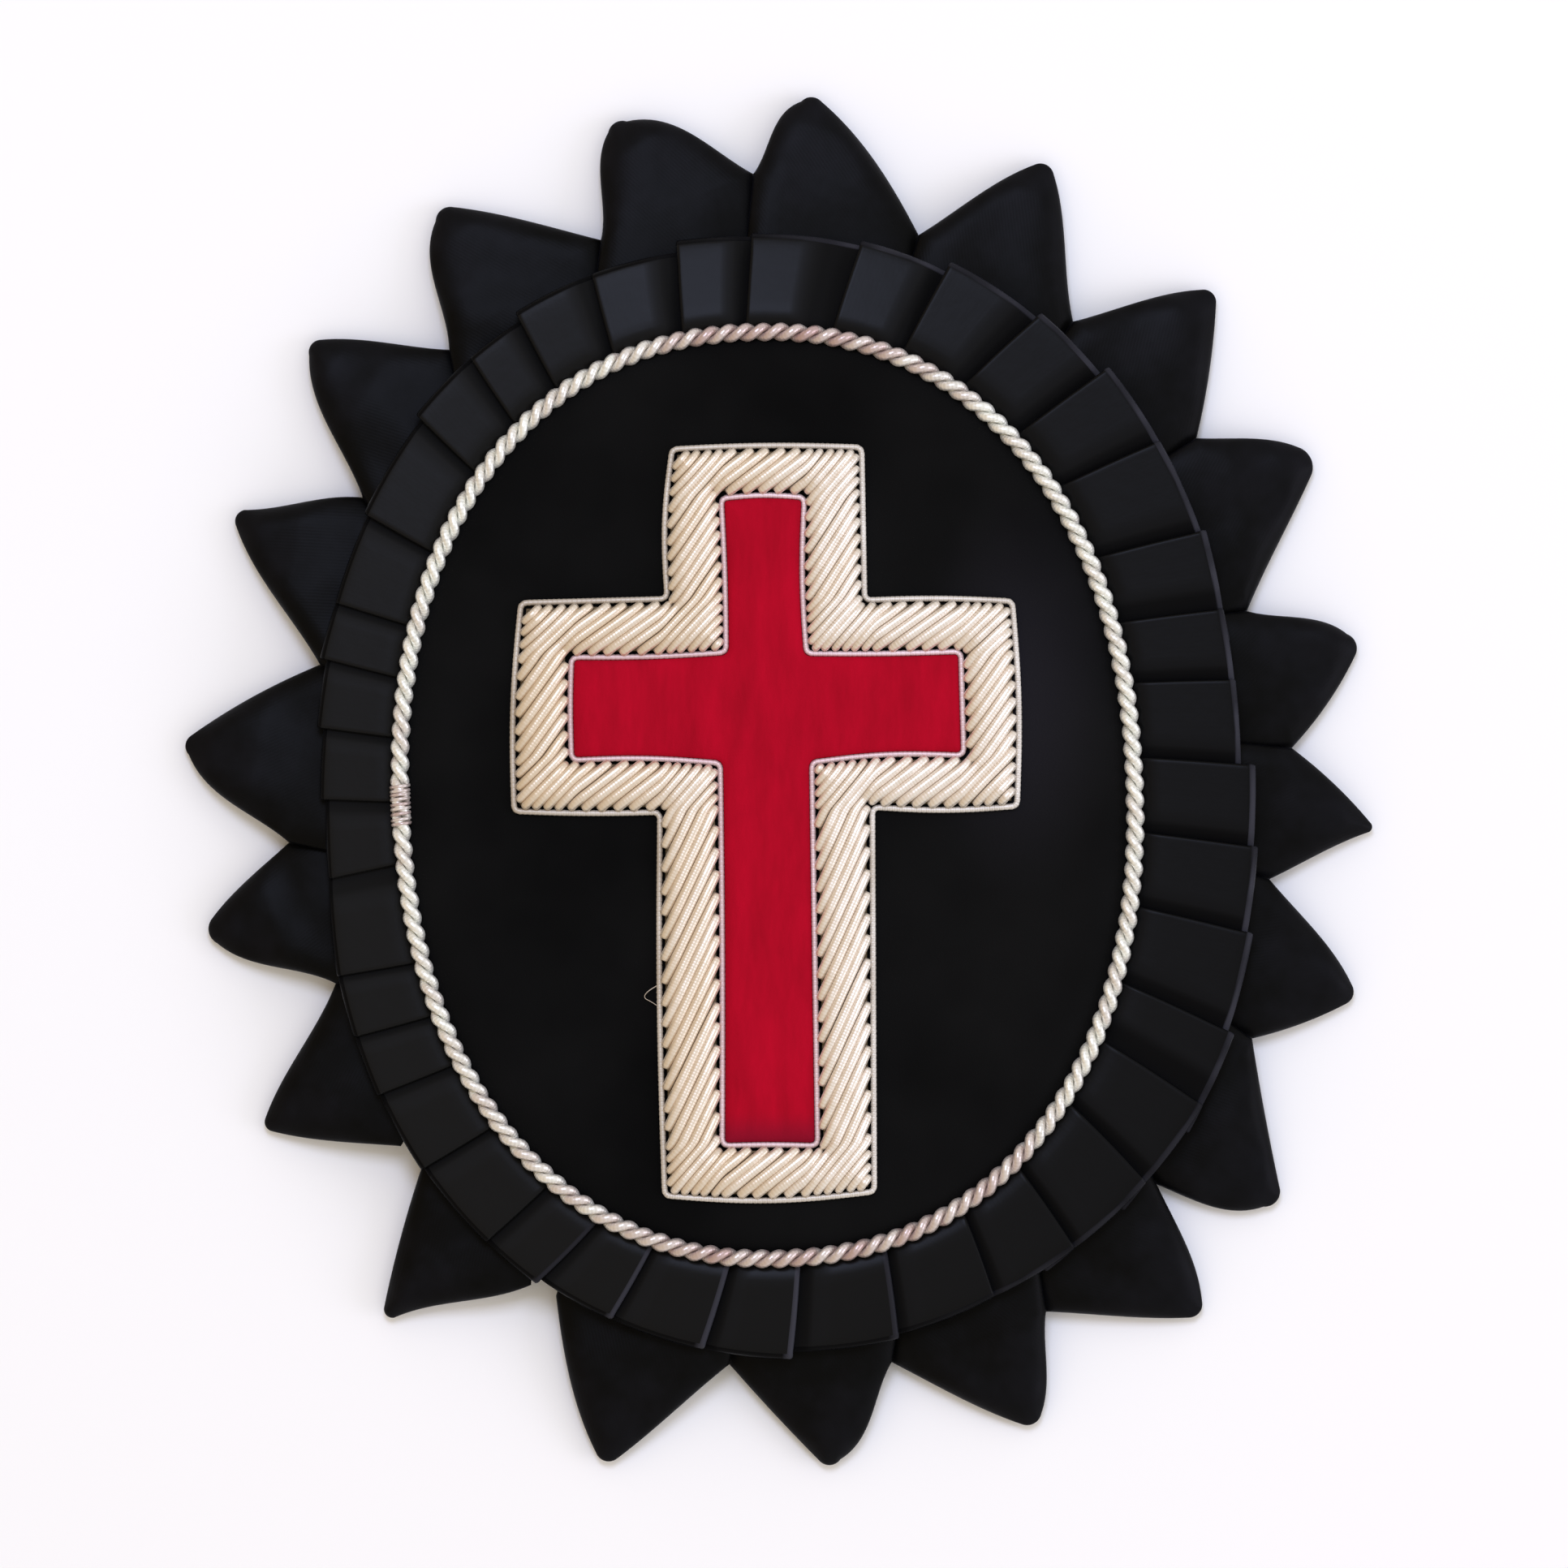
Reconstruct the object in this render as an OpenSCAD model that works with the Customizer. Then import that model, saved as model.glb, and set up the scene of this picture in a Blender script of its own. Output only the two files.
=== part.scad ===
// Oval hat rosette: a padded velvet oval with a silver-bordered red cross, framed by a twisted
// cord, a knife-pleated ribbon and twenty folded cloth points. It lies on its back, face up.

/* [Seam] */
// Half width of the oval seam between velvet and ribbon
seam_half_w = 37.7; // [34:0.1:42]
// Half height of the oval seam
seam_half_h = 47.6; // [43:0.1:53]
// Squareness of the oval, where 2 is an ellipse
seam_power = 2.18; // [2:0.01:2.4]
// How far the oval's long axis leans to the upper left
seam_lean = 2.5; // [0:0.1:5]
// Clear gap between neighbouring pieces
gap = 0.15; // [0.1:0.01:0.2]

/* [Backing] */
// Thickness of the flange that carries the points
flange_t = 1.5; // [1.2:0.1:1.8]
// How far the flange stands out past the seam
flange_reach = 6.4; // [6:0.1:6.6]
// How far the raised middle stands out past the seam
plateau_reach = 2.6; // [2.2:0.1:2.8]
// Height of the raised middle
plateau_h = 4.9; // [4.7:0.1:5.2]
// Depth of the hollow in the back
hollow_depth = 3.1; // [2.9:0.1:3.2]
// How far inside the seam the hollow ends
hollow_inset = 4.5; // [4:0.1:8]

/* [Back pin] */
// Length of the pin's bar
pin_bar_l = 38; // [30:1:44]
// Width of the pin's bar
pin_bar_w = 6; // [5:0.5:8]
// Thickness of the pin's bar
pin_bar_t = 0.7; // [0.6:0.1:0.8]
// How far the hinge and the catch stand in from the bar's ends
pin_inset = 2.5; // [2:0.5:4]
// Diameter of the needle
needle_d = 0.9; // [0.8:0.1:1]
// Height of the pin above the middle of the oval
pin_y = 12; // [0:1:16]

/* [Points] */
// Thickness of a point's folded edge
point_edge_t = 0.9; // [0.7:0.1:1]
// Rise of a point's upper side over its middle, which lays it over its neighbour
point_rise = 1.1; // [1.05:0.05:1.15]
// Height of a point's middle where it is sewn to the flange
point_base_z = 3.35; // [3.3:0.05:3.4]
// Height of a point's middle at its tip
point_tip_z = 1.2; // [1.1:0.1:1.6]

/* [Ribbon] */
// Height of the pleated ribbon's underside
ribbon_z = 5.05; // [5.05:0.05:5.3]
// How much further in a pleat's covered end lies than its open fold
pleat_draw_in = 0.5; // [0.2:0.1:0.8]

/* [Velvet, cord and cross] */
// Diameter of the twisted cord
cord_d = 2; // [1.8:0.1:2.1]
// Height of the cord's middle
cord_z = 7.5; // [7.45:0.05:7.7]
// Thickness of the padded velvet
velvet_t = 3.15; // [3:0.05:3.3]
// Height of the padded bullion band
bullion_t = 1.75; // [1.4:0.05:2]
// Diameter of the couched edging wires
edging_d = 0.64; // [0.5:0.02:0.7]
// Thickness of the red cloth
red_t = 1.1; // [0.8:0.1:1.4]

/* [Hidden] */
$fn = 32;

// Middle of the seam's oval, from the middle of the whole outline
seam_mid = [-1.15, -1.45];
velvet_top = ribbon_z + velvet_t;
// The embroidery lies closer on the velvet than the other pieces do on each other
cross_z = velvet_top + 0.1;
black_cloth = [0.05, 0.05, 0.07];
silver = [0.85, 0.81, 0.76];

// The points, clockwise from the one right of the top. The tip and the valley after it are
// measured from the middle of the outline. A bow is how far a side stands out from its chord,
// a third and two thirds of the way out, on the side of the valley before and after the tip.
TIP_X = 0;
TIP_Y = 1;
TIP_R = 2;
BOW = 3;
VALLEY_X = 7;
VALLEY_Y = 8;
VALLEY_OPEN = 9;
point_rows = [
    // tip x, tip y, tip r, bows before, bows after, valley x, valley y, valley open
    [3.0, 70.4, 1.4, 0.4, 0.9, 0.7, 0.8, 14.4, 56.2, 0],
    [27.5, 63.5, 1.4, 0.2, 0.4, 0.0, 0.3, 30.3, 47.3, 0],
    [44.6, 50.3, 1.3, 0.2, 0.4, 0.3, 0.3, 43.0, 35.3, 0],
    [54.5, 33.7, 2.2, 0.3, 0.5, -0.1, 0.0, 48.2, 17.5, 0],
    [59.4, 14.3, 1.6, 0.3, 0.7, 0.4, 0.4, 52.8, 3.4, 0],
    [61.1, -4.8, 0.6, 0.3, 0.3, -0.1, -0.2, 50.5, -10.1, 0],
    [59.1, -22.2, 1.4, 0.3, 0.5, 0.3, 0.3, 48.7, -26.5, 0],
    [51.0, -43.5, 1.6, -0.1, -0.1, 0.8, 1.1, 38.9, -41.5, 0],
    [43.4, -54.6, 1.4, 0.4, 0.6, 0.1, 0.2, 27.5, -54.6, 0],
    [26.5, -66.0, 1.5, 0.1, 0.4, 0.2, 0.3, 11.6, -59.8, 0],
    [5.5, -70.4, 1.4, 0.4, 0.9, 0.1, 0.1, -5.1, -60.0, 0],
    [-17.9, -70.0, 1.4, 0.0, 0.1, 0.6, 0.7, -24.2, -52.4, 2.8],
    [-40.4, -55.0, 0.9, 0.2, -0.2, 0.2, 0.2, -37.8, -38.6, 3.0],
    [-52.8, -35.6, 1.0, 0.2, 0.3, -0.1, 0.2, -45.6, -20.8, 0],
    [-58.7, -15.5, 1.7, 0.1, 0.6, 0.2, 0.3, -50.4, -6.3, 0],
    [-61.1, 3.7, 1.3, 0.5, 1.0, 0.4, 0.4, -47.2, 12.0, 0],
    [-55.8, 27.4, 1.2, 0.2, 0.5, 0.3, 0.0, -42.8, 29.2, 0],
    [-48.1, 45.0, 1.3, 0.4, 0.9, 0.1, 0.3, -33.9, 44.4, 0],
    [-34.9, 58.7, 1.5, 0.4, 1.0, 0.2, 0.3, -18.3, 55.7, 0],
    [-17.0, 67.7, 1.5, 0.1, 0.6, 0.9, 1.5, -2.6, 62.5, 0],
];
point_count = len(point_rows);
// How far past the seam the points' sewn ends begin
point_base_reach = 4.6;
// How far a sewn end runs on past its valley, under or over its neighbour
point_overlap = 1.9;
// How late along its length a point droops, where 1 is evenly
point_droop = 1.3;
// Height of a folded side over the point's middle plane, as a share of the side's half thickness
fold_lift = 0.3;
// Fullness of a point's middle along its length: share of the length, half thickness
point_fullness = [[0, 0.95], [0.3, 1.1], [0.6, 1.5], [0.85, 1.25], [1, 0.6]];
// Where the curved sides are cut into sections, and then the way from a side to the tip's nose
point_steps = [0.2, 0.4, 0.6, 0.8, 1];
tip_steps = [0.35, 0.7];
// Places across a point, from its low side at -1 to its high side at 1
point_across = [-1, -0.75, -0.35, 0, 0.35, 0.75, 1];

// The pleats, clockwise: direction of the open fold, and how far it stands out past the seam
PLEAT_AT = 0;
PLEAT_REACH = 1;
pleat_rows = [
    [12, 10.7], [22.5, 10.9], [33.5, 11.2], [44.5, 11.7], [54, 11.5], [65, 11.6], [73, 11.3],
    [81, 11.0], [89, 12.1], [96.5, 12.6], [105.5, 13.0], [116, 13.0], [124, 12.4], [134, 11.1],
    [145, 10.0], [155.5, 9.2], [168, 9.6], [181, 10.0], [190.5, 9.5], [201.5, 9.1], [210.5, 9.4],
    [218, 9.4], [229.5, 9.0], [239.5, 9.1], [246.5, 9.0], [253.5, 9.0], [264.5, 8.1], [271.5, 8.2],
    [278.5, 8.8], [285.5, 9.2], [292, 8.8], [302.5, 9.0], [315, 9.2], [323.5, 8.8], [332, 9.4],
    [342, 9.5], [352, 10.2], [360.5, 10.4],
];
pleat_count = len(pleat_rows);
// Across the ribbon: share of its width, height above its underside, rise of the open fold
ribbon_across = [[0, 1.05, 0.3], [0.25, 1.5, 0.6], [0.65, 1.6, 1.1], [0.96, 1.1, 1.4], [1, 0.75, 1.35]];
// The underside, from the outer edge back in
ribbon_under = [1, 0.5, 0];
// Along one pleat: share of its width, share of the fold's rise
pleat_steps = [[0, 1], [0.5, 0.42], [0.97, 0]];

// The velvet's rounded edge: how far in from its outline, how far under its top
velvet_edge = [[0, 2], [0.5, 1.5], [1, 1], [2.2, 0.3], [3.6, 0]];

// The cross, clockwise from the top left corner: the outer edging's corner, the inner edging's
OUTER = 0;
INNER = 2;
cross_rows = [
    // outer x, outer y, inner x, inner y
    [-11.0, 34.1, -5.9, 29.1],
    [8.5, 34.3, 2.6, 29.2],
    [8.8, 18.6, 2.8, 13.1],
    [24.0, 18.5, 18.7, 13.3],
    [24.5, -2.6, 19.0, 2.7],
    [9.6, -2.7, 3.4, 2.0],
    [9.8, -42.2, 4.0, -37.4],
    [-11.7, -42.6, -5.8, -37.4],
    [-12.2, -3.2, -6.0, 1.9],
    [-27.2, -3.1, -21.3, 2.2],
    [-26.5, 18.3, -21.3, 12.7],
    [-11.5, 18.7, -5.4, 13.2],
];
// Across the bullion band: share of its width, share of its height
bullion_across = [[0, 0], [0.05, 0.5], [0.22, 0.85], [0.5, 1], [0.78, 0.85], [0.95, 0.5], [1, 0]];

function between(a, b, f) = a + (b - a) * f;
function unit(v) = v / norm(v);
function left_of(v) = [-v[1], v[0]];
function lift(p, z) = [p[0], p[1], z];
function turned(v, a) = [v[0] * cos(a) - v[1] * sin(a), v[0] * sin(a) + v[1] * cos(a)];
function signed_power(v, p) = sign(v) * pow(abs(v), p);

// Place on the seam's oval in a direction clockwise from the top, and a given way out from it
function seam_place(at, out = 0) =
    let (half = [seam_half_w, seam_half_h])
    let (share = [sin(at), cos(at)])
    let (on = [for (i = [0, 1]) half[i] * signed_power(share[i], 2 / seam_power)])
    let (normal = [for (i = [0, 1]) signed_power(share[i], 2 - 2 / seam_power) / half[i]])
    seam_mid + turned(on + unit(normal) * out, seam_lean);

function seam_outline(out, count = 96) = [for (i = [0:count - 1]) seam_place(360 * i / count, out)];

// Direction of a place from the seam's middle, clockwise from the top
function direction_of(p) =
    let (d = turned(p - seam_mid, -seam_lean))
    atan2(d[0] / seam_half_w, d[1] / seam_half_h);

function bezier(p, f) =
    p[0] * pow(1 - f, 3) + p[1] * 3 * f * pow(1 - f, 2) + p[2] * 3 * f * f * (1 - f) + p[3] * pow(f, 3);

// A curve from a to b that stands out by two bows, at a third and at two thirds of the way
function bowed(a, b, bows, out, f) =
    let (near = 3 * bows[0] - 1.5 * bows[1])
    let (far = 3 * bows[1] - 1.5 * bows[0])
    bezier([a, between(a, b, 1 / 3) + out * near, between(a, b, 2 / 3) + out * far, b], f);

// Triangles of a body whose sections are rings of the same number of corners
function ring_faces(rows, size, closed) = [
    for (r = [0:rows - (closed ? 1 : 2)])
        let (this = r * size)
        let (next = (r + 1) % rows * size)
        for (i = [0:size - 1])
            let (k = (i + 1) % size)
            each [[this + i, this + k, next + k], [this + i, next + k, next + i]],
];

module ring_body(sections, closed) {
    size = len(sections[0]);
    rows = len(sections);
    start_cap = [[for (i = [size - 1:-1:0]) i]];
    end_cap = [[for (i = [0:size - 1]) (rows - 1) * size + i]];
    polyhedron(
        points = [for (s = sections) each s],
        faces = concat(ring_faces(rows, size, closed), closed ? [] : start_cap, closed ? [] : end_cap)
    );
}

// The two sides of one point, from its sewn end to its tip, as pairs of places
function valley_side(row, way) =
    let (v = [row[VALLEY_X], row[VALLEY_Y]])
    let (along = unit(left_of(v - seam_mid)))
    v + along * way * row[VALLEY_OPEN] / 2;

function sewn_side(valley, open, way) =
    let (at = direction_of(valley))
    let (along = unit(left_of(valley - seam_mid)))
    seam_place(at, point_base_reach) + along * way * (point_overlap - open);

function point_sides(index) =
    let (row = point_rows[index])
    let (before = point_rows[(index + point_count - 1) % point_count])
    let (v0 = valley_side(before, -1))
    let (v1 = valley_side(row, 1))
    let (tip = [row[TIP_X], row[TIP_Y]])
    let (axis = unit(tip - (v0 + v1) / 2))
    let (round_mid = tip - axis * row[TIP_R])
    let (n0 = unit(left_of(round_mid - v0)))
    let (n1 = -unit(left_of(round_mid - v1)))
    let (e0 = round_mid + n0 * row[TIP_R])
    let (e1 = round_mid + n1 * row[TIP_R])
    let (bows0 = [row[BOW], row[BOW + 1]])
    let (bows1 = [row[BOW + 2], row[BOW + 3]])
    concat(
        [[sewn_side(v0, before[VALLEY_OPEN], 1), sewn_side(v1, row[VALLEY_OPEN], -1)]],
        [[v0, v1]],
        [for (f = point_steps) [
            bowed(v0, e0, bows0, n0, f),
            bowed(v1, e1, bows1, n1, f)]],
        [for (f = tip_steps) [
            round_mid + unit(between(n0, axis, f)) * row[TIP_R],
            round_mid + unit(between(n1, axis, f)) * row[TIP_R]]]
    );

// One section of a point between its two sides: over the top, then back along the underside
function point_section(side, share) =
    let (mid_z = between(point_base_z, point_tip_z, pow(share, point_droop)))
    let (rise = point_rise * (1 - share))
    let (full = lookup(share, point_fullness))
    let (edge = min(point_edge_t / 2, full))
    let (count = len(point_across))
    [for (i = [0:2 * count - 3])
        let (q = point_across[i < count ? i : 2 * count - 2 - i])
        let (up = abs(q) == 1 ? edge * fold_lift : between(edge, full, 1 - q * q) * (i < count ? 1 : -1))
        lift(between(side[1], side[0], (q + 1) / 2), mid_z + rise * q + up)];

module folded_point(index) {
    sides = point_sides(index);
    base = (sides[0][0] + sides[0][1]) / 2;
    tip = [point_rows[index][TIP_X], point_rows[index][TIP_Y]];
    reach = norm(tip - base);
    axis = unit(tip - base);
    sections = [for (s = sides)
        let (share = ((s[0] + s[1]) / 2 - base) * axis / reach)
        point_section(s, max(0, min(1, share)))];
    size = len(sections[0]);
    rows = len(sections);
    nose = rows * size;
    last = (rows - 1) * size;
    color(black_cloth)
    polyhedron(
        points = concat([for (s = sections) each s], [lift(tip, point_tip_z)]),
        faces = concat(
            ring_faces(rows, size, false),
            [[for (i = [size - 1:-1:0]) i]],
            [for (i = [0:size - 1]) [last + i, last + (i + 1) % size, nose]])
    );
}

// Height and reach of the ribbon at one step of one pleat
function ribbon_section(index, step) =
    let (this = pleat_rows[index])
    let (next = pleat_rows[(index + 1) % pleat_count])
    let (turns = index == pleat_count - 1 ? 360 : 0)
    let (at = between(this[PLEAT_AT], next[PLEAT_AT] + turns, step[0]))
    let (reach = this[PLEAT_REACH] - pleat_draw_in * step[0])
    let (inner = gap * 2)
    concat(
        [for (a = ribbon_across)
            lift(seam_place(at, between(inner, reach, a[0])), ribbon_z + a[1] + a[2] * step[1])],
        [for (f = ribbon_under) lift(seam_place(at, between(inner, reach, f)), ribbon_z)]
    );

module pleated_ribbon() {
    color(black_cloth)
    ring_body([for (i = [0:pleat_count - 1]) for (step = pleat_steps) ribbon_section(i, step)], true);
}

module oval_plate(out, height) {
    linear_extrude(height) polygon(seam_outline(out));
}

module backing() {
    color([0.09, 0.09, 0.1])
    difference() {
        union() {
            oval_plate(flange_reach, flange_t);
            oval_plate(plateau_reach, plateau_h);
        }
        translate([0, 0, -1]) oval_plate(-hollow_inset, hollow_depth + 1);
    }
}

module back_pin() {
    bar_top = hollow_depth - gap;
    needle_z = 1.05;
    knuckle_r = 0.95;
    knuckle_l = 3;
    post_t = 1.2;
    post_x = pin_bar_l / 2 - pin_inset;
    color(silver)
    translate([seam_mid[0], seam_mid[1] + pin_y, 0]) {
        translate([-pin_bar_l / 2, -pin_bar_w / 2, bar_top - pin_bar_t])
        cube([pin_bar_l, pin_bar_w, pin_bar_t]);
        for (side = [-1, 1]) {
            translate([side * post_x - post_t / 2, -knuckle_l / 2, needle_z])
            cube([post_t, knuckle_l, bar_top - needle_z]);
            translate([side * post_x, knuckle_l / 2, needle_z])
            rotate([90, 0, 0]) cylinder(h = knuckle_l, r = knuckle_r);
        }
        translate([-post_x, 0, needle_z]) rotate([0, 90, 0]) cylinder(h = 2 * post_x, d = needle_d);
    }
}

module velvet_field() {
    count = 72;
    rings = concat([[0, velvet_t]], velvet_edge);
    color([0.02, 0.02, 0.025])
    ring_body([for (r = rings)
        [for (p = seam_outline(-2 * gap - r[0], count)) lift(p, velvet_top - r[1])]], false);
}

module twisted_cord() {
    rings = 80;
    sides = 8;
    color(silver)
    ring_body([for (i = [0:rings - 1])
        [for (s = [0:sides - 1])
            let (a = 360 * s / sides)
            lift(seam_place(360 * i / rings, cos(a) * cord_d / 2), cord_z - sin(a) * cord_d / 2)]], true);
}

// Corner of the cross's outline, moved in by a distance along both its sides
function cross_corner(column, index, inset) =
    let (count = len(cross_rows))
    let (p = [for (i = [-1:1])
        let (row = cross_rows[(index + i + count) % count])
        [row[column], row[column + 1]]])
    let (a = unit(p[1] - p[0]))
    let (b = unit(p[2] - p[1]))
    let (turn = a[0] * b[1] - a[1] * b[0])
    p[1] + (a - b) * inset / turn;

module edging(column) {
    sides = 6;
    r = edging_d / 2;
    color(silver)
    ring_body([for (i = [0:len(cross_rows) - 1])
        [for (s = [0:sides - 1])
            let (a = 360 / sides * (s + 0.5))
            lift(cross_corner(column, i, cos(a) * r), cross_z + r * (1 + sin(a)))]], true);
}

module outer_edging() {
    edging(OUTER);
}

module inner_edging() {
    edging(INNER);
}

module bullion_border() {
    clear = edging_d / 2 + gap;
    color(silver)
    ring_body([for (i = [0:len(cross_rows) - 1])
        let (outer = cross_corner(OUTER, i, clear))
        let (inner = cross_corner(INNER, i, -clear))
        [for (a = bullion_across) lift(between(inner, outer, a[0]), cross_z + a[1] * bullion_t)]], true);
}

module red_cross() {
    clear = edging_d / 2 + gap;
    color([0.7, 0.04, 0.12])
    translate([0, 0, cross_z])
    linear_extrude(red_t) polygon([for (i = [0:len(cross_rows) - 1]) cross_corner(INNER, i, clear)]);
}

backing();
back_pin();
for (i = [0:point_count - 1])
    folded_point(i);
pleated_ribbon();
velvet_field();
twisted_cord();
bullion_border();
outer_edging();
inner_edging();
red_cross();
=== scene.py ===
import bmesh
import bpy
import math
from functools import partial
import numpy as np
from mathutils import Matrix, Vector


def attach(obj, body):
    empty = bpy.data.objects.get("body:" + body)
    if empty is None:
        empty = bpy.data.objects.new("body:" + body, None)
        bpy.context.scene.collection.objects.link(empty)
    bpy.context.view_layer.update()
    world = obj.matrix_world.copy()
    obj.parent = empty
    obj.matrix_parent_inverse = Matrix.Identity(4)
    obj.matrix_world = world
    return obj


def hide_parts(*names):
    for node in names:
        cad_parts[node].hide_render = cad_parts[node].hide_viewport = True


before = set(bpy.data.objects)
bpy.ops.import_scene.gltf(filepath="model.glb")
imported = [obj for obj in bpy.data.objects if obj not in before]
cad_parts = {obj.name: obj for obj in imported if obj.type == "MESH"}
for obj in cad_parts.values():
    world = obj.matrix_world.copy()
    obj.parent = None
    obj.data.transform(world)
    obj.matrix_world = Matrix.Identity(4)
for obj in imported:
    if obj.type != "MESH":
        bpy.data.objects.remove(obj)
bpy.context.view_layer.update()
print("frame loaded")

# Hat rosette, face up. Lengths below are in millimetres, and makePiece turns them into metres.
mm = 0.001
dice = np.random.default_rng(7)


def linearColour(code):
    shades = [int(code[i:i + 2], 16) / 255 for i in (1, 3, 5)]
    return [s / 12.92 if s <= 0.04045 else ((s + 0.055) / 1.055) ** 2.4 for s in shades] + [1.0]


def setNode(node, values):
    # a number or hex colour is set and a node or socket is linked; a node stands for its first output, and
    # inputs that share a name go by number, as a colour mix's 6 and 7 do
    for name, value in values.items():
        if isinstance(value, bpy.types.Node):
            value = value.outputs[0]
        if name == "stops":  # the two places and colours of a ramp
            for stop, (place, colour) in zip(node.color_ramp.elements, value):
                stop.position = place
                stop.color = linearColour(colour)
        elif isinstance(value, bpy.types.NodeSocket):
            node.id_data.links.new(value, node.inputs[name])
        elif isinstance(name, int) or name in node.inputs:
            node.inputs[name].default_value = linearColour(value) if isinstance(value, str) else value
        else:
            setattr(node, name, value)


def addNode(tree, kind, values):
    node = tree.nodes.new("ShaderNode" + kind)
    setNode(node, values)
    return node


def newMaterial(name, values):
    material = bpy.data.materials.new(name)
    material.use_nodes = True
    shader = material.node_tree.nodes["Principled BSDF"]
    setNode(shader, values)
    return material, partial(addNode, material.node_tree), shader


def addObject(name, data):
    thing = bpy.data.objects.new(name, data)
    bpy.context.scene.collection.objects.link(thing)
    return thing


def bandScale(period):
    return math.pi / 10 / period  # a Wave node repeats every pi / 10 at scale 1


def makePiece(name, points, faces, material, marks=None, flatten=None):
    mesh = bpy.data.meshes.new(name)
    mesh.from_pydata((np.asarray(points) * mm).tolist(), [], faces)
    mesh.materials.append(material)
    for label, values in (marks or {}).items():  # millimetres along and across the cloth or wire, or a share that shifts its colour or gloss
        single = np.ndim(values) == 1
        mark = mesh.attributes.new(label, "FLOAT" if single else "FLOAT_VECTOR", "POINT")
        mark.data.foreach_set("value" if single else "vector", np.asarray(values, np.float32).ravel())
    work = bmesh.new()
    work.from_mesh(mesh)
    bmesh.ops.recalc_face_normals(work, faces=work.faces)
    work.to_mesh(mesh)
    work.free()
    mesh.shade_smooth()
    if flatten:
        mesh.set_sharp_from_angle(angle=math.radians(flatten))
    piece = addObject(name, mesh)
    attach(piece, "root")
    return piece


def unit(v):
    return v / np.linalg.norm(v, axis=-1, keepdims=True)


def leftOf(v):
    return np.array([-v[1], v[0]])


def between(a, b, share):
    return a + (b - a) * share


def ramp(x, rows):
    return np.interp(x, *zip(*rows))


def lengths(path):
    # how far along it each of its points lies
    steps = np.linalg.norm(np.diff(path, axis=0), axis=-1)
    return np.concatenate([[0], np.cumsum(steps)])


def atLengths(path, way, places):
    return np.stack([np.interp(places, way, column) for column in np.transpose(path)], -1)


def withHeight(flat, z):
    return np.concatenate([flat, np.broadcast_to(np.asarray(z, float), flat.shape[:-1])[..., None]], -1)


def ringMesh(rings, closed=False):
    # rings of equal size, each joined to the next: the last meets the first, or both ends get a face
    rings = np.asarray(rings)
    count, size = rings.shape[:2]
    row, column = np.meshgrid(np.arange(count if closed else count - 1), np.arange(size), indexing="ij")
    here, there, right = row * size, (row + 1) % count * size, (column + 1) % size
    faces = np.stack([here + column, here + right, there + right, there + column], -1)
    faces = faces.reshape(-1, 4).tolist()
    if not closed:
        last = (count - 1) * size
        faces += [list(range(size)), list(range(last, last + size))]
    return rings.reshape(-1, 3), faces


def joined(parts):
    # several meshes as one
    allPoints, allFaces, start = [], [], 0
    for points, faces in parts:
        allPoints.append(points)
        allFaces += [[corner + start for corner in face] for face in faces]
        start += len(points)
    return np.concatenate(allPoints), allFaces


def wayAlong(path, closed):
    return unit(np.roll(path, -1, 0) - np.roll(path, 1, 0) if closed else np.gradient(path, axis=0))


def wireRings(path, side, up, radii, sides, closed):
    turn = (np.arange(sides) / sides * 2 * math.pi)[:, None]
    ring = side[:, None] * np.cos(turn) + up[:, None] * np.sin(turn)
    return ringMesh(path[:, None] + ring * np.reshape(radii, (-1, 1, 1)), closed)


def tube(path, radii, sides, closed=False, squash=1.0):
    # a wire along a path that stays roughly level, round or pressed flatter
    path = np.asarray(path, float)
    along = wayAlong(path, closed)
    side = unit(np.cross(along, [0, 0, 1.0]))
    return wireRings(path, side, np.cross(side, along) * squash, radii, sides, closed)


def wireMarks(way, sides):
    # the length along a wire, the same all round it
    return np.repeat(np.stack([way, 0 * way, 0 * way], -1), sides, 0)


def turned(x, y, degrees):
    cos, sin = math.cos(math.radians(degrees)), math.sin(math.radians(degrees))
    return x * cos - y * sin, x * sin + y * cos


# the oval seam that the whole rosette is laid out from
seam = {"half": (37.7, 47.6), "power": 2.18, "lean": 2.5, "middle": (-1.15, -1.45), "steps": 7201}


def seamPlace(at, out=0.0):
    # at is in degrees clockwise from the top, and out the way out from the seam
    at, out = np.broadcast_arrays(np.asarray(at, float), np.asarray(out, float))
    share = np.stack([np.sin(np.radians(at)), np.cos(np.radians(at))], -1)
    half = np.array(seam["half"])
    on = half * np.sign(share) * np.abs(share) ** (2 / seam["power"])
    normal = unit(np.sign(share) * np.abs(share) ** (2 - 2 / seam["power"]) / half)
    x, y = np.moveaxis(on + normal * out[..., None], -1, 0)
    return np.stack(turned(x, y, seam["lean"]), -1) + seam["middle"]


def directionOf(place):
    x, y = turned(*(np.asarray(place) - seam["middle"]), -seam["lean"])
    return math.degrees(math.atan2(x / seam["half"][0], y / seam["half"][1]))


def evenDirections(count):
    # directions that lie evenly far apart along the seam, and its length
    at = np.linspace(0, 360, seam["steps"])
    way = lengths(seamPlace(at))
    return np.interp(np.arange(count) / count * way[-1], way, at), way[-1]


def ripples(flat, waves, size, height):
    # soft unevenness of hand-laid cloth: a few slow waves in random directions
    total = np.zeros(flat.shape[:-1])
    for _ in range(waves):
        turn, phase = dice.uniform(0, 2 * math.pi, 2)
        pace = 2 * math.pi / (size * dice.uniform(0.7, 1.4))
        total += np.sin(pace * (flat[..., 0] * math.cos(turn) + flat[..., 1] * math.sin(turn)) + phase)
    return total * height / waves


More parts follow.
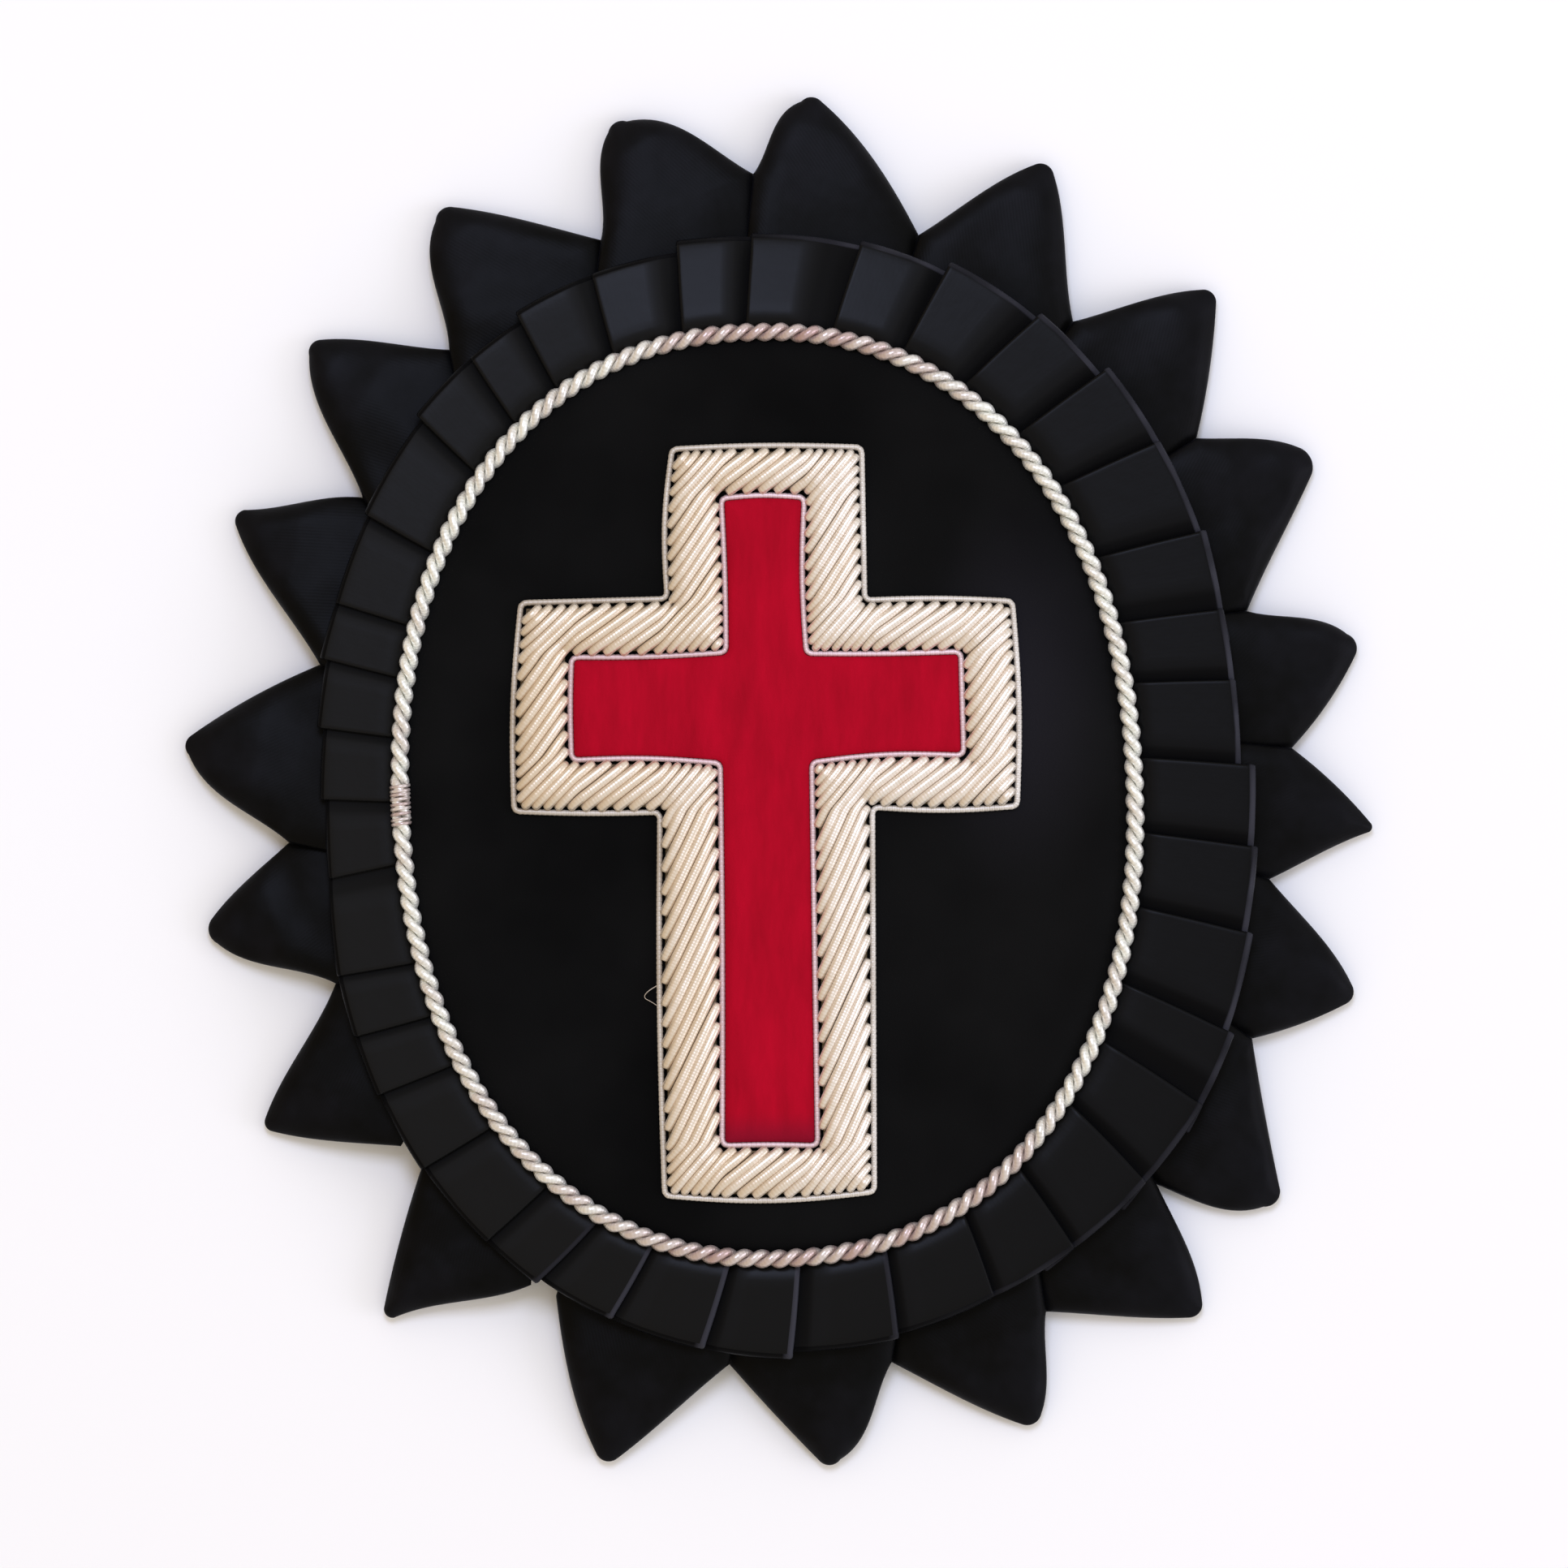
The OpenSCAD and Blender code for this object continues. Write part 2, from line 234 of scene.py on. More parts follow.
shot = {
    "width": 161.0, "middle": (0.54, -0.29), "height": 2400.0, "planeHeight": 8.0, "sensor": 36.0,
    "near": 50.0, "far": 20000.0,
}
lighting = {
    # darker and warmer at the left, brighter and plain at the right: two colours and the brightness
    "room": ("#E8D2B2", "#FFFDFA", 0.8),
    # place, width and length, brightness, colour; each looks at the rosette
    "window": ((-30, 330, 830), (260, 320), 11.5, "#CBD8FF"),
    "side": ((820, -150, 400), (500, 340), 3.2, "#E6E4FF"),
    # colour, and how far it reaches each way
    "floor": ("#FFFFFE", 9000),
}


def layStage():
    camera = bpy.data.cameras.new("photoCamera")
    camera.sensor_width = shot["sensor"]
    camera.lens = shot["sensor"] * shot["height"] / shot["width"]
    camera.clip_start, camera.clip_end = shot["near"] * mm, shot["far"] * mm
    holder = addObject("photoCamera", camera)
    x, y = shot["middle"]
    holder.location = (x * mm, y * mm, (shot["height"] + shot["planeHeight"]) * mm)  # looks straight down
    bpy.context.scene.camera = holder
    bpy.context.scene.view_settings.view_transform = "Standard"

    world = bpy.data.worlds.new("softRoom")
    world.use_nodes = True
    add = partial(addNode, world.node_tree)
    left, right, strength = lighting["room"]
    toward = add("TexCoord", {}).outputs["Generated"]
    x = add("SeparateXYZ", {0: toward})
    across = add("MapRange", {"From Min": -1.0, "From Max": 1.0, "Value": x})
    shade = add("ValToRGB", {"stops": [(0.1, left), (0.7, right)], "Fac": across})
    setNode(world.node_tree.nodes["Background"], {"Color": shade, "Strength": strength})
    bpy.context.scene.world = world
    for name in ("window", "side"):
        place, size, brightness, colour = lighting[name]
        lamp = bpy.data.lights.new(name, "AREA")
        lamp.shape = "RECTANGLE"
        lamp.size, lamp.size_y = size[0] * mm, size[1] * mm
        lamp.energy = brightness * math.pi * size[0] * size[1] * mm * mm
        lamp.color = linearColour(colour)[:3]
        holder = addObject(name, lamp)
        holder.location = [v * mm for v in place]
        holder.rotation_euler = Vector(place).to_track_quat("Z", "Y").to_euler()
        holder.visible_camera = False

    colour, reach = lighting["floor"]
    mesh = bpy.data.meshes.new("floor")
    corners = [(-1, -1), (1, -1), (1, 1), (-1, 1)]
    mesh.from_pydata([(x * reach * mm, y * reach * mm, 0) for x, y in corners], [], [(0, 1, 2, 3)])
    paper, *_ = newMaterial("matte white paper", {
        "Base Color": colour, "Roughness": 0.9, "Specular IOR Level": 0.1})
    mesh.materials.append(paper)
    addObject("floor", mesh)


layStage()
print("stage laid")


# Finishes. A noise's scale is one over its size, in metres for object places and in millimetres for marks.

def blackSateen():
    # cotton sateen: soft and dull, with a faint bluish sheen where it turns away, and a fine twill
    finish, add, shader = newMaterial("black cotton sateen", {
        "Roughness": 0.45, "Specular IOR Level": 0.075,
        "Sheen Weight": 0.01, "Sheen Roughness": 0.35, "Sheen Tint": "#9AA0D8"})
    cloth = add("Attribute", {"attribute_name": "cloth"}).outputs["Vector"]
    twill = add("Mapping", {"Rotation": (0, 0, math.radians(63)), "Vector": cloth})
    lines = add("TexWave", {"Scale": bandScale(0.32), "Distortion": 0.4, "Vector": twill})
    slub = add("TexNoise", {"Scale": 0.8, "Detail": 5.0, "Vector": cloth})
    relief = add("Math", {"operation": "MULTIPLY_ADD", 0: slub, 1: 5.0, 2: lines.outputs["Fac"]})
    bump = add("Bump", {"Strength": 0.06, "Distance": 0.00006, "Height": relief})
    # painted shade: the colour is darker by the ribbon, where shade falls, and lighter toward the tips, a
    # little unevenly
    x = add("SeparateXYZ", {0: cloth})
    mottle = add("TexNoise", {"Scale": 0.3, "Vector": cloth})
    paintedShade = add("MapRange", {"From Min": 7.0, "From Max": 21.0, "To Min": -0.25, "To Max": 0.35, "Value": x})
    blend = add("Math", {"operation": "ADD", 0: mottle, 1: paintedShade})
    shade = add("ValToRGB", {"stops": [(0.25, "#030303"), (0.85, "#0E0E12")], "Fac": blend})
    setNode(shader, {"Base Color": shade, "Normal": bump})
    return finish


def blackRibbon(name):
    # grosgrain ribbon: silky, ribbed across its width, with a brighter gloss than the points
    finish, add, shader = newMaterial(name, {
        "Specular IOR Level": 0.1, "Sheen Weight": 0.01, "Sheen Roughness": 0.3, "Sheen Tint": "#A8B4E0"})
    # painted shade: the right half is painted a little darker than the left
    x = add("SeparateXYZ", {0: add("TexCoord", {}).outputs["Object"]})
    paintedShade = add("MapRange", {"From Min": -0.045, "From Max": 0.048, "Value": x})
    dyeWithPaintedShade = add("Mix", {"data_type": "RGBA", 0: paintedShade, 6: "#121212", 7: "#040405"})
    cloth = add("Attribute", {"attribute_name": "cloth"}).outputs["Vector"]
    # real ribs are about 0.35 mm apart; 0.5 mm still shows in the picture
    ribs = add("TexWave", {"Scale": bandScale(0.5), "Distortion": 0.6, "Detail": 1.0, "Vector": cloth})
    creases = add("TexNoise", {"Scale": 0.7, "Detail": 5.0, "Vector": cloth})
    relief = add("Math", {"operation": "MULTIPLY_ADD", 0: creases, 1: 22.0, 2: ribs.outputs["Fac"]})
    bump = add("Bump", {"Strength": 0.014, "Distance": 0.00006, "Height": relief})
    # wear has pressed the open panels smooth, while the ribbon down in the folds is still matt
    folds = add("Attribute", {"attribute_name": "fold"}).outputs["Fac"]
    gloss = add("MapRange", {"To Min": 0.36, "To Max": 0.85, "Value": folds})
    setNode(shader, {"Base Color": dyeWithPaintedShade.outputs[2], "Normal": bump, "Roughness": gloss})
    return finish, add, shader


def selvedgeWithPaintedHighlight():
    # the ribbon's woven edge: tighter, so it shines less, with a grey highlight painted into its colour
    finish, add, shader = blackRibbon("ribbon selvedge with painted highlight")
    age = add("Attribute", {"attribute_name": "age"}).outputs["Fac"]
    # painted highlight: grey is mixed into the colour as far as the colour shift goes
    paintedHighlight = add("Mix", {"data_type": "RGBA", 0: age, 6: "#070708", 7: "#38383F"})
    setNode(shader, {"Base Color": paintedHighlight.outputs[2], "Specular IOR Level": 0.05})
    return finish


def blackVelvet():
    # cotton velvet: the pile swallows light, with a faint sheen, and a lighter patch of painted sheen beside
    # the cross's right arm
    finish, add, shader = newMaterial("black cotton velvet", {
        "Roughness": 0.95, "Specular IOR Level": 0.03,
        "Sheen Weight": 0.025, "Sheen Roughness": 0.55, "Sheen Tint": "#8C90A0"})
    place = add("TexCoord", {}).outputs["Object"]
    pile = add("TexNoise", {"Scale": 5200.0, "Vector": place})
    bump = add("Bump", {"Strength": 0.5, "Distance": 0.0001, "Height": pile})
    brushed = add("TexNoise", {"Scale": 55.0, "Detail": 3.0, "Vector": place})
    shade = add("ValToRGB", {"stops": [(0.35, "#0B0B0B"), (0.7, "#131313")], "Fac": brushed})
    # painted sheen: a lighter patch is painted into the colour beside the cross's right arm
    tall = add("Mapping", {"Scale": (1.0, 0.5, 0.0), "Vector": place})
    spot = add("VectorMath", {"operation": "DISTANCE", 0: tall, 1: (0.0245, 0.0045, 0.0)})
    near = add("MapRange", {"interpolation_type": "SMOOTHSTEP", "From Min": 0.001, "From Max": 0.0115,
                            "To Min": 0.7, "To Max": 0.0, "Value": spot.outputs["Value"]})
    lean = add("Mix", {"data_type": "RGBA", 0: near, 6: shade, 7: "#232227"})
    setNode(shader, {"Base Color": lean.outputs[2], "Normal": bump})
    return finish


def silverWire(name, colour, shadow, shiftedColour, roughness, coil, metal):
    # silver-plated purl: a fine wire wound into a tight coil, bright, with warm shade between its turns
    # painted into its colour;
    # the windings scatter light as much as they mirror it, so it isn't wholly metallic
    finish, add, shader = newMaterial(name, {"Metallic": metal, "Roughness": roughness})
    wire = add("Attribute", {"attribute_name": "wire"}).outputs["Vector"]
    turns = add("TexWave", {"Scale": bandScale(coil), "Distortion": 0.3, "Vector": wire}).outputs["Fac"]
    patches = add("TexNoise", {"Scale": 0.4, "Detail": 3.0, "Vector": wire})
    blend = add("Math", {"operation": "MULTIPLY_ADD", 0: turns, 1: 0.35, 2: patches})
    # painted shade between the turns, with uneven patches
    shade = add("ValToRGB", {"stops": [(0.35, shadow), (0.75, colour)], "Fac": blend})
    age = add("Attribute", {"attribute_name": "age"}).outputs["Fac"]  # 0 its own colour, 1 the shifted colour that each wire sets
    dull = add("Mix", {"data_type": "RGBA", 0: age, 6: shade, 7: shiftedColour})
    bump = add("Bump", {"Strength": 0.15, "Distance": 0.00005, "Height": turns})
    setNode(shader, {"Base Color": dull.outputs[2], "Normal": bump})
    return finish


def redVelveteen():
    # red velveteen: deep, even crimson with a short nap that darkens slightly in patches
    finish, add, shader = newMaterial("red velveteen", {
        "Roughness": 0.85, "Specular IOR Level": 0.03,
        "Sheen Weight": 0.02, "Sheen Roughness": 0.5, "Sheen Tint": "#FF8090"})
    place = add("TexCoord", {}).outputs["Object"]
    drawn = add("Mapping", {"Scale": (1.0, 0.22, 1.0), "Vector": place})
    nap = add("TexNoise", {"Scale": 420.0, "Detail": 6.0, "Roughness": 0.65, "Vector": drawn})
    shade = add("ValToRGB", {"stops": [(0.3, "#A00A20"), (0.7, "#B80B27")], "Fac": nap})
    # painted shade: the colour is darker just above the foot's edging
    y = add("SeparateXYZ", {0: place}).outputs["Y"]
    low = add("MapRange", {"interpolation_type": "SMOOTHSTEP", "From Min": -0.0335,
                           "From Max": -0.0372, "To Max": 0.8, "Value": y})
    foot = add("Mix", {"data_type": "RGBA", 0: low, 6: shade, 7: "#7E1128"})
    pile = add("TexNoise", {"Scale": 4800.0, "Vector": place})
    bump = add("Bump", {"Strength": 0.4, "Distance": 0.00008, "Height": pile})
    setNode(shader, {"Base Color": foot.outputs[2], "Normal": bump})
    return finish


def pressedFelt(name, matting, dark, light):
    # pressed wool felt: matte, with short matted fibres in every direction
    finish, add, shader = newMaterial(name, {"Roughness": 0.95, "Specular IOR Level": 0.1})
    place = add("TexCoord", {}).outputs["Object"]
    fibres = add("TexNoise", {**matting, "Vector": place})
    shade = add("ValToRGB", {"stops": [(0.3, dark), (0.75, light)], "Fac": fibres})
    setNode(shader, {"Base Color": shade})
    return finish, add, shader, fibres


def blackFelt():
    # the cover of the back, with fibres that can be felt
    finish, add, shader, fibres = pressedFelt("black pressed felt", {
        "Scale": 1500.0, "Detail": 6.0, "Distortion": 1.5}, "#101012", "#26262A")
    setNode(shader, {"Normal": add("Bump", {"Strength": 0.6, "Distance": 0.00012, "Height": fibres})})
    return finish


def waxedThread():
    # black waxed thread: a low shine, with the plies just felt
    finish, add, shader = newMaterial("black waxed thread", {
        "Base Color": "#1C1C20", "Roughness": 0.5, "Specular IOR Level": 0.35})
    place = add("TexCoord", {}).outputs["Object"]
    plies = add("TexNoise", {"Scale": 6000.0, "Vector": place})
    setNode(shader, {"Normal": add("Bump", {"Strength": 0.4, "Distance": 0.00004, "Height": plies})})
    return finish


def nickelSteel():
    # nickel-plated steel wire and strip: clear reflections, softened by handling marks
    finish, add, shader = newMaterial("nickel-plated steel", {"Base Color": "#C9C7C2", "Metallic": 1.0})
    place = add("TexCoord", {}).outputs["Object"]
    marks = add("TexNoise", {"Scale": 700.0, "Detail": 4.0, "Vector": place})
    setNode(shader, {"Roughness": add("MapRange", {"To Min": 0.18, "To Max": 0.36, "Value": marks})})
    return finish


# the backing: a stiff plate under cloth, hollow behind, with a raised middle
backing = {
    "flange": 6.4, "flangeHeight": 1.5, "plateau": 2.6, "plateauHeight": 4.9,
    "hollow": -4.5, "hollowDepth": 3.1, "flatFrom": 21, "directions": 200, "stitches": 132,
    # an overcast stitch: way out from the rim, height, share of its lean in degrees, thread's radius
    "stitch": [(-1.75, 0.1, 0, 0.07), (-1.2, 0.13, 0.25, 0.12), (-0.6, 0.27, 0.5, 0.12),
               (-0.12, 0.5, 0.75, 0.12), (0.02, 0.85, 1, 0.07)],
    "stitchLean": 0.9, "stitchJitter": 0.15, "stitchSides": 6,
}


def makeBacking():
    f, p, h = backing["flange"], backing["plateau"], backing["hollow"]
    top, flat, deep = backing["plateauHeight"], backing["flangeHeight"], backing["hollowDepth"]
    inmost = h - backing["flatFrom"]
    # way out from the seam and height, from the hollow's ceiling down, round the rim and up to the top
    section = [(inmost, deep), (h - 0.5, deep), (h - 0.12, deep - 0.12), (h, deep - 0.5), (h, 0.35),
               (h + 0.35, 0), (f - 2.2, 0), (f - 1.4, 0.12), (f - 0.7, 0.24), (f - 0.2, 0.48), (f, 0.8),
               (f - 0.14, 1.2), (f - 0.5, flat), (p + 0.4, flat), (p + 0.1, flat + 0.1), (p, flat + 0.4),
               (p, top - 0.6), (p - 0.2, top - 0.2), (p - 0.6, top), (inmost, top)]
    at, _ = evenDirections(backing["directions"])
    points, faces = ringMesh([withHeight(seamPlace(at, out), z) for out, z in section])
    plate = makePiece("feltBack", points, faces, blackFelt(), flatten=50)
    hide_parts("backing")

    # overcast stitches hold the cloth round the rim
    stitches = []
    for here in evenDirections(backing["stitches"])[0]:
        lean = backing["stitchLean"] + dice.uniform(-backing["stitchJitter"], backing["stitchJitter"])
        path = [[*seamPlace(here + lean * way, f + out), z] for out, z, way, _ in backing["stitch"]]
        stitches.append(tube(path, [row[3] for row in backing["stitch"]], backing["stitchSides"]))
    points, faces = joined(stitches)
    makePiece("rimStitches", points, faces, waxedThread())


makeBacking()
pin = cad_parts["back_pin"]
pin.data.materials.clear()
pin.data.materials.append(nickelSteel())
print("backing and pin made")


# the folded points, softly filled, each lying on the one before it
point = {
    "baseReach": 4.6, "overlap": 1.9, "baseHeight": 3.35, "tipHeight": 1.2, "droop": 1.3, "rise": 1.1,
    "edgeRoll": 2.3, "sideRoll": 0.95,
    "fullness": [(0, 0.95), (0.3, 1.1), (0.6, 1.45), (0.85, 1.25), (1, 0.62)],
    "crown": 0.28, "underFullness": 0.85,
    "alongSteps": 24, "tipSteps": 7, "acrossSteps": 9,
    # how uneven the filling is: waves, their size and height
    "filling": (4, 9.0, 0.3),
    # the cloth puckers where it is gathered under the ribbon: height, and how far along it reaches
    "pucker": (0.16, 0.5),
    # the seam underneath: depth, width, and how far along it reaches
    "slit": (0.3, 0.28, 0.8),
}
# clockwise: tip x, tip y, tip radius, bows before x2, bows after x2, valley after x, y, its opening
pointRows = [
    (3.0, 70.4, 1.4, 0.4, 0.9, 0.7, 0.8, 14.4, 56.2, 0),
    (27.5, 63.5, 1.4, 0.2, 0.4, 0.0, 0.3, 30.3, 47.3, 0),
    (44.6, 50.3, 1.3, 0.2, 0.4, 0.3, 0.3, 43.0, 35.3, 0),
    (54.5, 33.7, 2.2, 0.3, 0.5, -0.1, 0.0, 48.2, 17.5, 0),
    (59.4, 14.3, 1.6, 0.3, 0.7, 0.4, 0.4, 52.8, 3.4, 0),
    (61.1, -4.8, 0.6, 0.3, 0.3, -0.1, -0.2, 50.5, -10.1, 0),
    (59.1, -22.2, 1.4, 0.3, 0.5, 0.3, 0.3, 48.7, -26.5, 0),
    (51.0, -43.5, 1.6, -0.1, -0.1, 0.8, 1.1, 38.9, -41.5, 0),
    (43.4, -54.6, 1.4, 0.4, 0.6, 0.1, 0.2, 27.5, -54.6, 0),
    (26.5, -66.0, 1.5, 0.1, 0.4, 0.2, 0.3, 11.6, -59.8, 0),
    (5.5, -70.4, 1.4, 0.4, 0.9, 0.1, 0.1, -5.1, -60.0, 0),
    (-17.9, -70.0, 1.4, 0.0, 0.1, 0.6, 0.7, -24.2, -52.4, 2.8),
    (-40.4, -55.0, 0.9, 0.2, -0.2, 0.2, 0.2, -37.8, -38.6, 3.0),
    (-52.8, -35.6, 1.0, 0.2, 0.3, -0.1, 0.2, -45.6, -20.8, 0),
    (-58.7, -15.5, 1.7, 0.1, 0.6, 0.2, 0.3, -50.4, -6.3, 0),
    (-61.1, 3.7, 1.3, 0.5, 1.0, 0.4, 0.4, -47.2, 12.0, 0),
    (-55.8, 27.4, 1.2, 0.2, 0.5, 0.3, 0.0, -42.8, 29.2, 0),
    (-48.1, 45.0, 1.3, 0.4, 0.9, 0.1, 0.3, -33.9, 44.4, 0),
    (-34.9, 58.7, 1.5, 0.4, 1.0, 0.2, 0.3, -18.3, 55.7, 0),
    (-17.0, 67.7, 1.5, 0.1, 0.6, 0.9, 1.5, -2.6, 62.5, 0),
]


def bowed(a, b, bows, out, share):
    # a curve from a to b that stands out by two bows, a third and two thirds of the way
    near, far = 3 * bows[0] - 1.5 * bows[1], 3 * bows[1] - 1.5 * bows[0]
    c, d = between(a, b, 1 / 3) + out * near, between(a, b, 2 / 3) + out * far
    s = np.asarray(share)[:, None]
    return a * (1 - s) ** 3 + c * 3 * s * (1 - s) ** 2 + d * 3 * s * s * (1 - s) + b * s ** 3


def pointSides(index):
    # the two sides of a point, from its sewn end to its nose
    row, before = pointRows[index], pointRows[index - 1]
    middle = np.array(seam["middle"])
    tip = np.array(row[:2])
    valleys, sewn = [], []
    for place, way, opening in ((before[7:9], -1, before[9]), (row[7:9], 1, row[9])):
        valley = np.array(place) + unit(leftOf(np.array(place) - middle)) * way * opening / 2
        run = unit(leftOf(valley - middle)) * -way * (point["overlap"] - opening)
        valleys.append(valley)
        sewn.append(seamPlace(directionOf(valley), point["baseReach"]) + run)
    axis = unit(tip - (valleys[0] + valleys[1]) / 2)
    roundMiddle = tip - axis * row[2]
    f = np.linspace(0, 1, point["alongSteps"] + 1)
    toTip = np.linspace(0, 1, point["tipSteps"] + 2)[1:-1]
    sides = []
    for which, sign in ((0, 1), (1, -1)):
        normal = sign * unit(leftOf(roundMiddle - valleys[which]))
        end = roundMiddle + normal * row[2]
        bows = row[3 + 2 * which:5 + 2 * which]
        back = between(sewn[which], valleys[which], np.array([[0], [0.35], [0.7]]))  # under the ribbon
        curve = bowed(valleys[which], end, bows, normal, f)
        cap = roundMiddle + unit(between(normal[None], axis[None], toTip[:, None])) * row[2]
        sides.append(np.concatenate([back, curve, cap]))
    return sides[0], sides[1], (sewn[0] + sewn[1]) / 2, tip


def makePoint(index, finish):
    high, low, base, tip = pointSides(index)
    reach = np.linalg.norm(tip - base)
    axis = (tip - base) / reach
    share = np.clip(((high + low) / 2 - base) @ axis / reach, 0, 1)
    halfWidth = (np.linalg.norm(high - low, axis=1) / 2)[:, None]
    outer = np.sin(np.linspace(0, 1, point["acrossSteps"] + 1) * math.pi / 2)
    # from side to side, with close steps over the seam in the middle
    across = np.concatenate([-outer[:0:-1], [-0.05, -0.02, 0, 0.02, 0.05], outer[1:]])
    flat = between(low[:, None], high[:, None], (across[None, :, None] + 1) / 2)
    toSide = (1 - np.abs(across)) * halfWidth * point["sideRoll"]
    edge = np.clip(np.minimum(toSide, (tip - flat) @ axis) / point["edgeRoll"], 0, 1)
    swell = np.sqrt(1 - (1 - edge) ** 2)
    mid = between(point["baseHeight"], point["tipHeight"], share ** point["droop"])[:, None]
    share = share[:, None]
    mid = mid + point["rise"] * (1 - share) * across
    uneven = ripples(flat, *point["filling"]) * swell
    height, until = point["pucker"]
    pucker = height * np.clip(1 - share / until, 0, 1)
    pucker = pucker * np.sin(across * dice.uniform(6.5, 9) + dice.uniform(0, 6)) * swell
    body = ramp(share, point["fullness"]) * swell * (1 - point["crown"] + point["crown"] * (1 - across ** 2))
    depth, width, until = point["slit"]
    slit = depth * np.exp(-(across * halfWidth / width) ** 2) * (share < until)
    top = mid + body + uneven + pucker
    under = mid - body * point["underFullness"] + slit * swell
    ring = np.concatenate([withHeight(flat, top), withHeight(flat, under)[:, -2:0:-1]], 1)
    mesh, faces = ringMesh(ring)
    size, nose = ring.shape[1], len(mesh)
    mesh = np.concatenate([mesh, [[*tip, point["tipHeight"]]]])
    start = nose - size
    faces[-2:] = [[start + i, start + (i + 1) % size, nose] for i in range(size)] + [list(range(size))]
    away = mesh[:, :2] - base
    cloth = np.stack([away @ axis, away @ leftOf(axis), mesh[:, 2]], -1)
    piece = makePiece(f"foldedPoint{index + 1:02d}", mesh, faces, finish, {"cloth": cloth})
    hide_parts(f"point_{index + 1:02d}")


sateen = blackSateen()
for index in range(len(pointRows)):
    makePoint(index, sateen)
print("folded points made")


# the pleated ribbon: one strip in knife pleats, each fold lying over the pleat before it
ribbon = {
    "height": 5.05, "thickness": 0.26, "inner": 0.3, "tuck": 0.36, "flat": (0.0127, 0.52),
    # room between layers that touch, the lowest that a pleat goes, and the room inside an open fold
    "layerGap": 0.05, "lowest": 0.42, "foldGap": 0.26, "leastFoldGap": 0.03,
    # where it is pressed on the backing: below what height, how softly, share of its thickness kept
    "pressed": (0.5, 0.32, 0.7),
    # how much of a panel's fall is over its steep part, and how steeply its tail goes on down
    "fall": 0.94, "tailFall": 0.1,
    # across: share of the width, height of a pleat's low end, rise of its open fold
    "across": [(0, 0.85, 0.8), (0.07, 1.28, 1.22), (0.14, 1.3, 1.25), (0.9, 0.72, 1.25), (1, 0.6, 1.15)],
    # the ribbon slopes down more at the top: direction, drop of its outer edge
    "slope": [(0, 1.4), (14, 0.85), (24, -0.3), (45, -0.7), (80, -0.7), (150, -0.3), (200, 0), (290, 0),
              (315, -0.7), (333, -0.6), (344, 0.6), (352, 1.25), (360, 1.4)],
    # at the top it lies over the thick ends of the points: direction, how far it is raised
    "raised": [(0, 0.65), (14, 0.5), (24, 0.1), (30, 0), (318, 0), (332, 0.1), (344, 0.35), (352, 0.6),
               (360, 0.65)],
    # the woven edge turns down: share of the width, drop
    "edge": [(0, 0), (0.93, 0), (0.95, 0.02), (0.965, 0.06), (0.98, 0.14), (0.99, 0.22), (1, 0.33)],
    "stations": [0, 0.06, 0.13, 0.21, 0.3, 0.4, 0.51, 0.62, 0.72, 0.81, 0.88, 0.93,
                 0.95, 0.965, 0.98, 0.99, 1],
    "selvedge": [(0, 1), (0.93, 1), (0.96, 1.3), (0.985, 1.3), (1, 0.8)],
    # rows along a pleat: turn of the open fold, shares of its panel's level and steep parts, of its tail,
    # turn of the hidden fold, and shares of the layer that comes back
    "openTurn": [-72, -48, -24, 0, 24, 48, 72], "level": [0, 0.03, 0.09, 0.3, 0.52, 0.76, 1],
    "steep": (0.14, 0.94, 7), "tail": [0, 0.5, 0.85], "hiddenTurn": [-60, 0, 60],
    "back": [0.12, 0.35, 0.6, 0.85],
    # a highlight is painted on the woven edge round the upper right: direction, how much; the last stations
    # show it
    "highlightAmount": [(0, 0.1), (12, 0.8), (30, 0.7), (75, 1), (112, 1), (122, 0.5), (150, 0.4), (165, 0),
             (345, 0), (360, 0.1)],
    "highlightStations": 5,
    # a grey highlight is painted on the lips of a few folds at the bottom: which fold, how much; from which
    # of its rows, and how much there
    "paintedHighlight": {16: 0.45, 17: 1.0, 18: 0.9, 19: 0.85, 20: 0.4},
    "highlightRow": 2, "highlightShares": [0.6, 0.8, 1, 1, 1, 1, 0.7],
    # millimetres across that the ribs are drawn over
    "markWidth": 10,
}
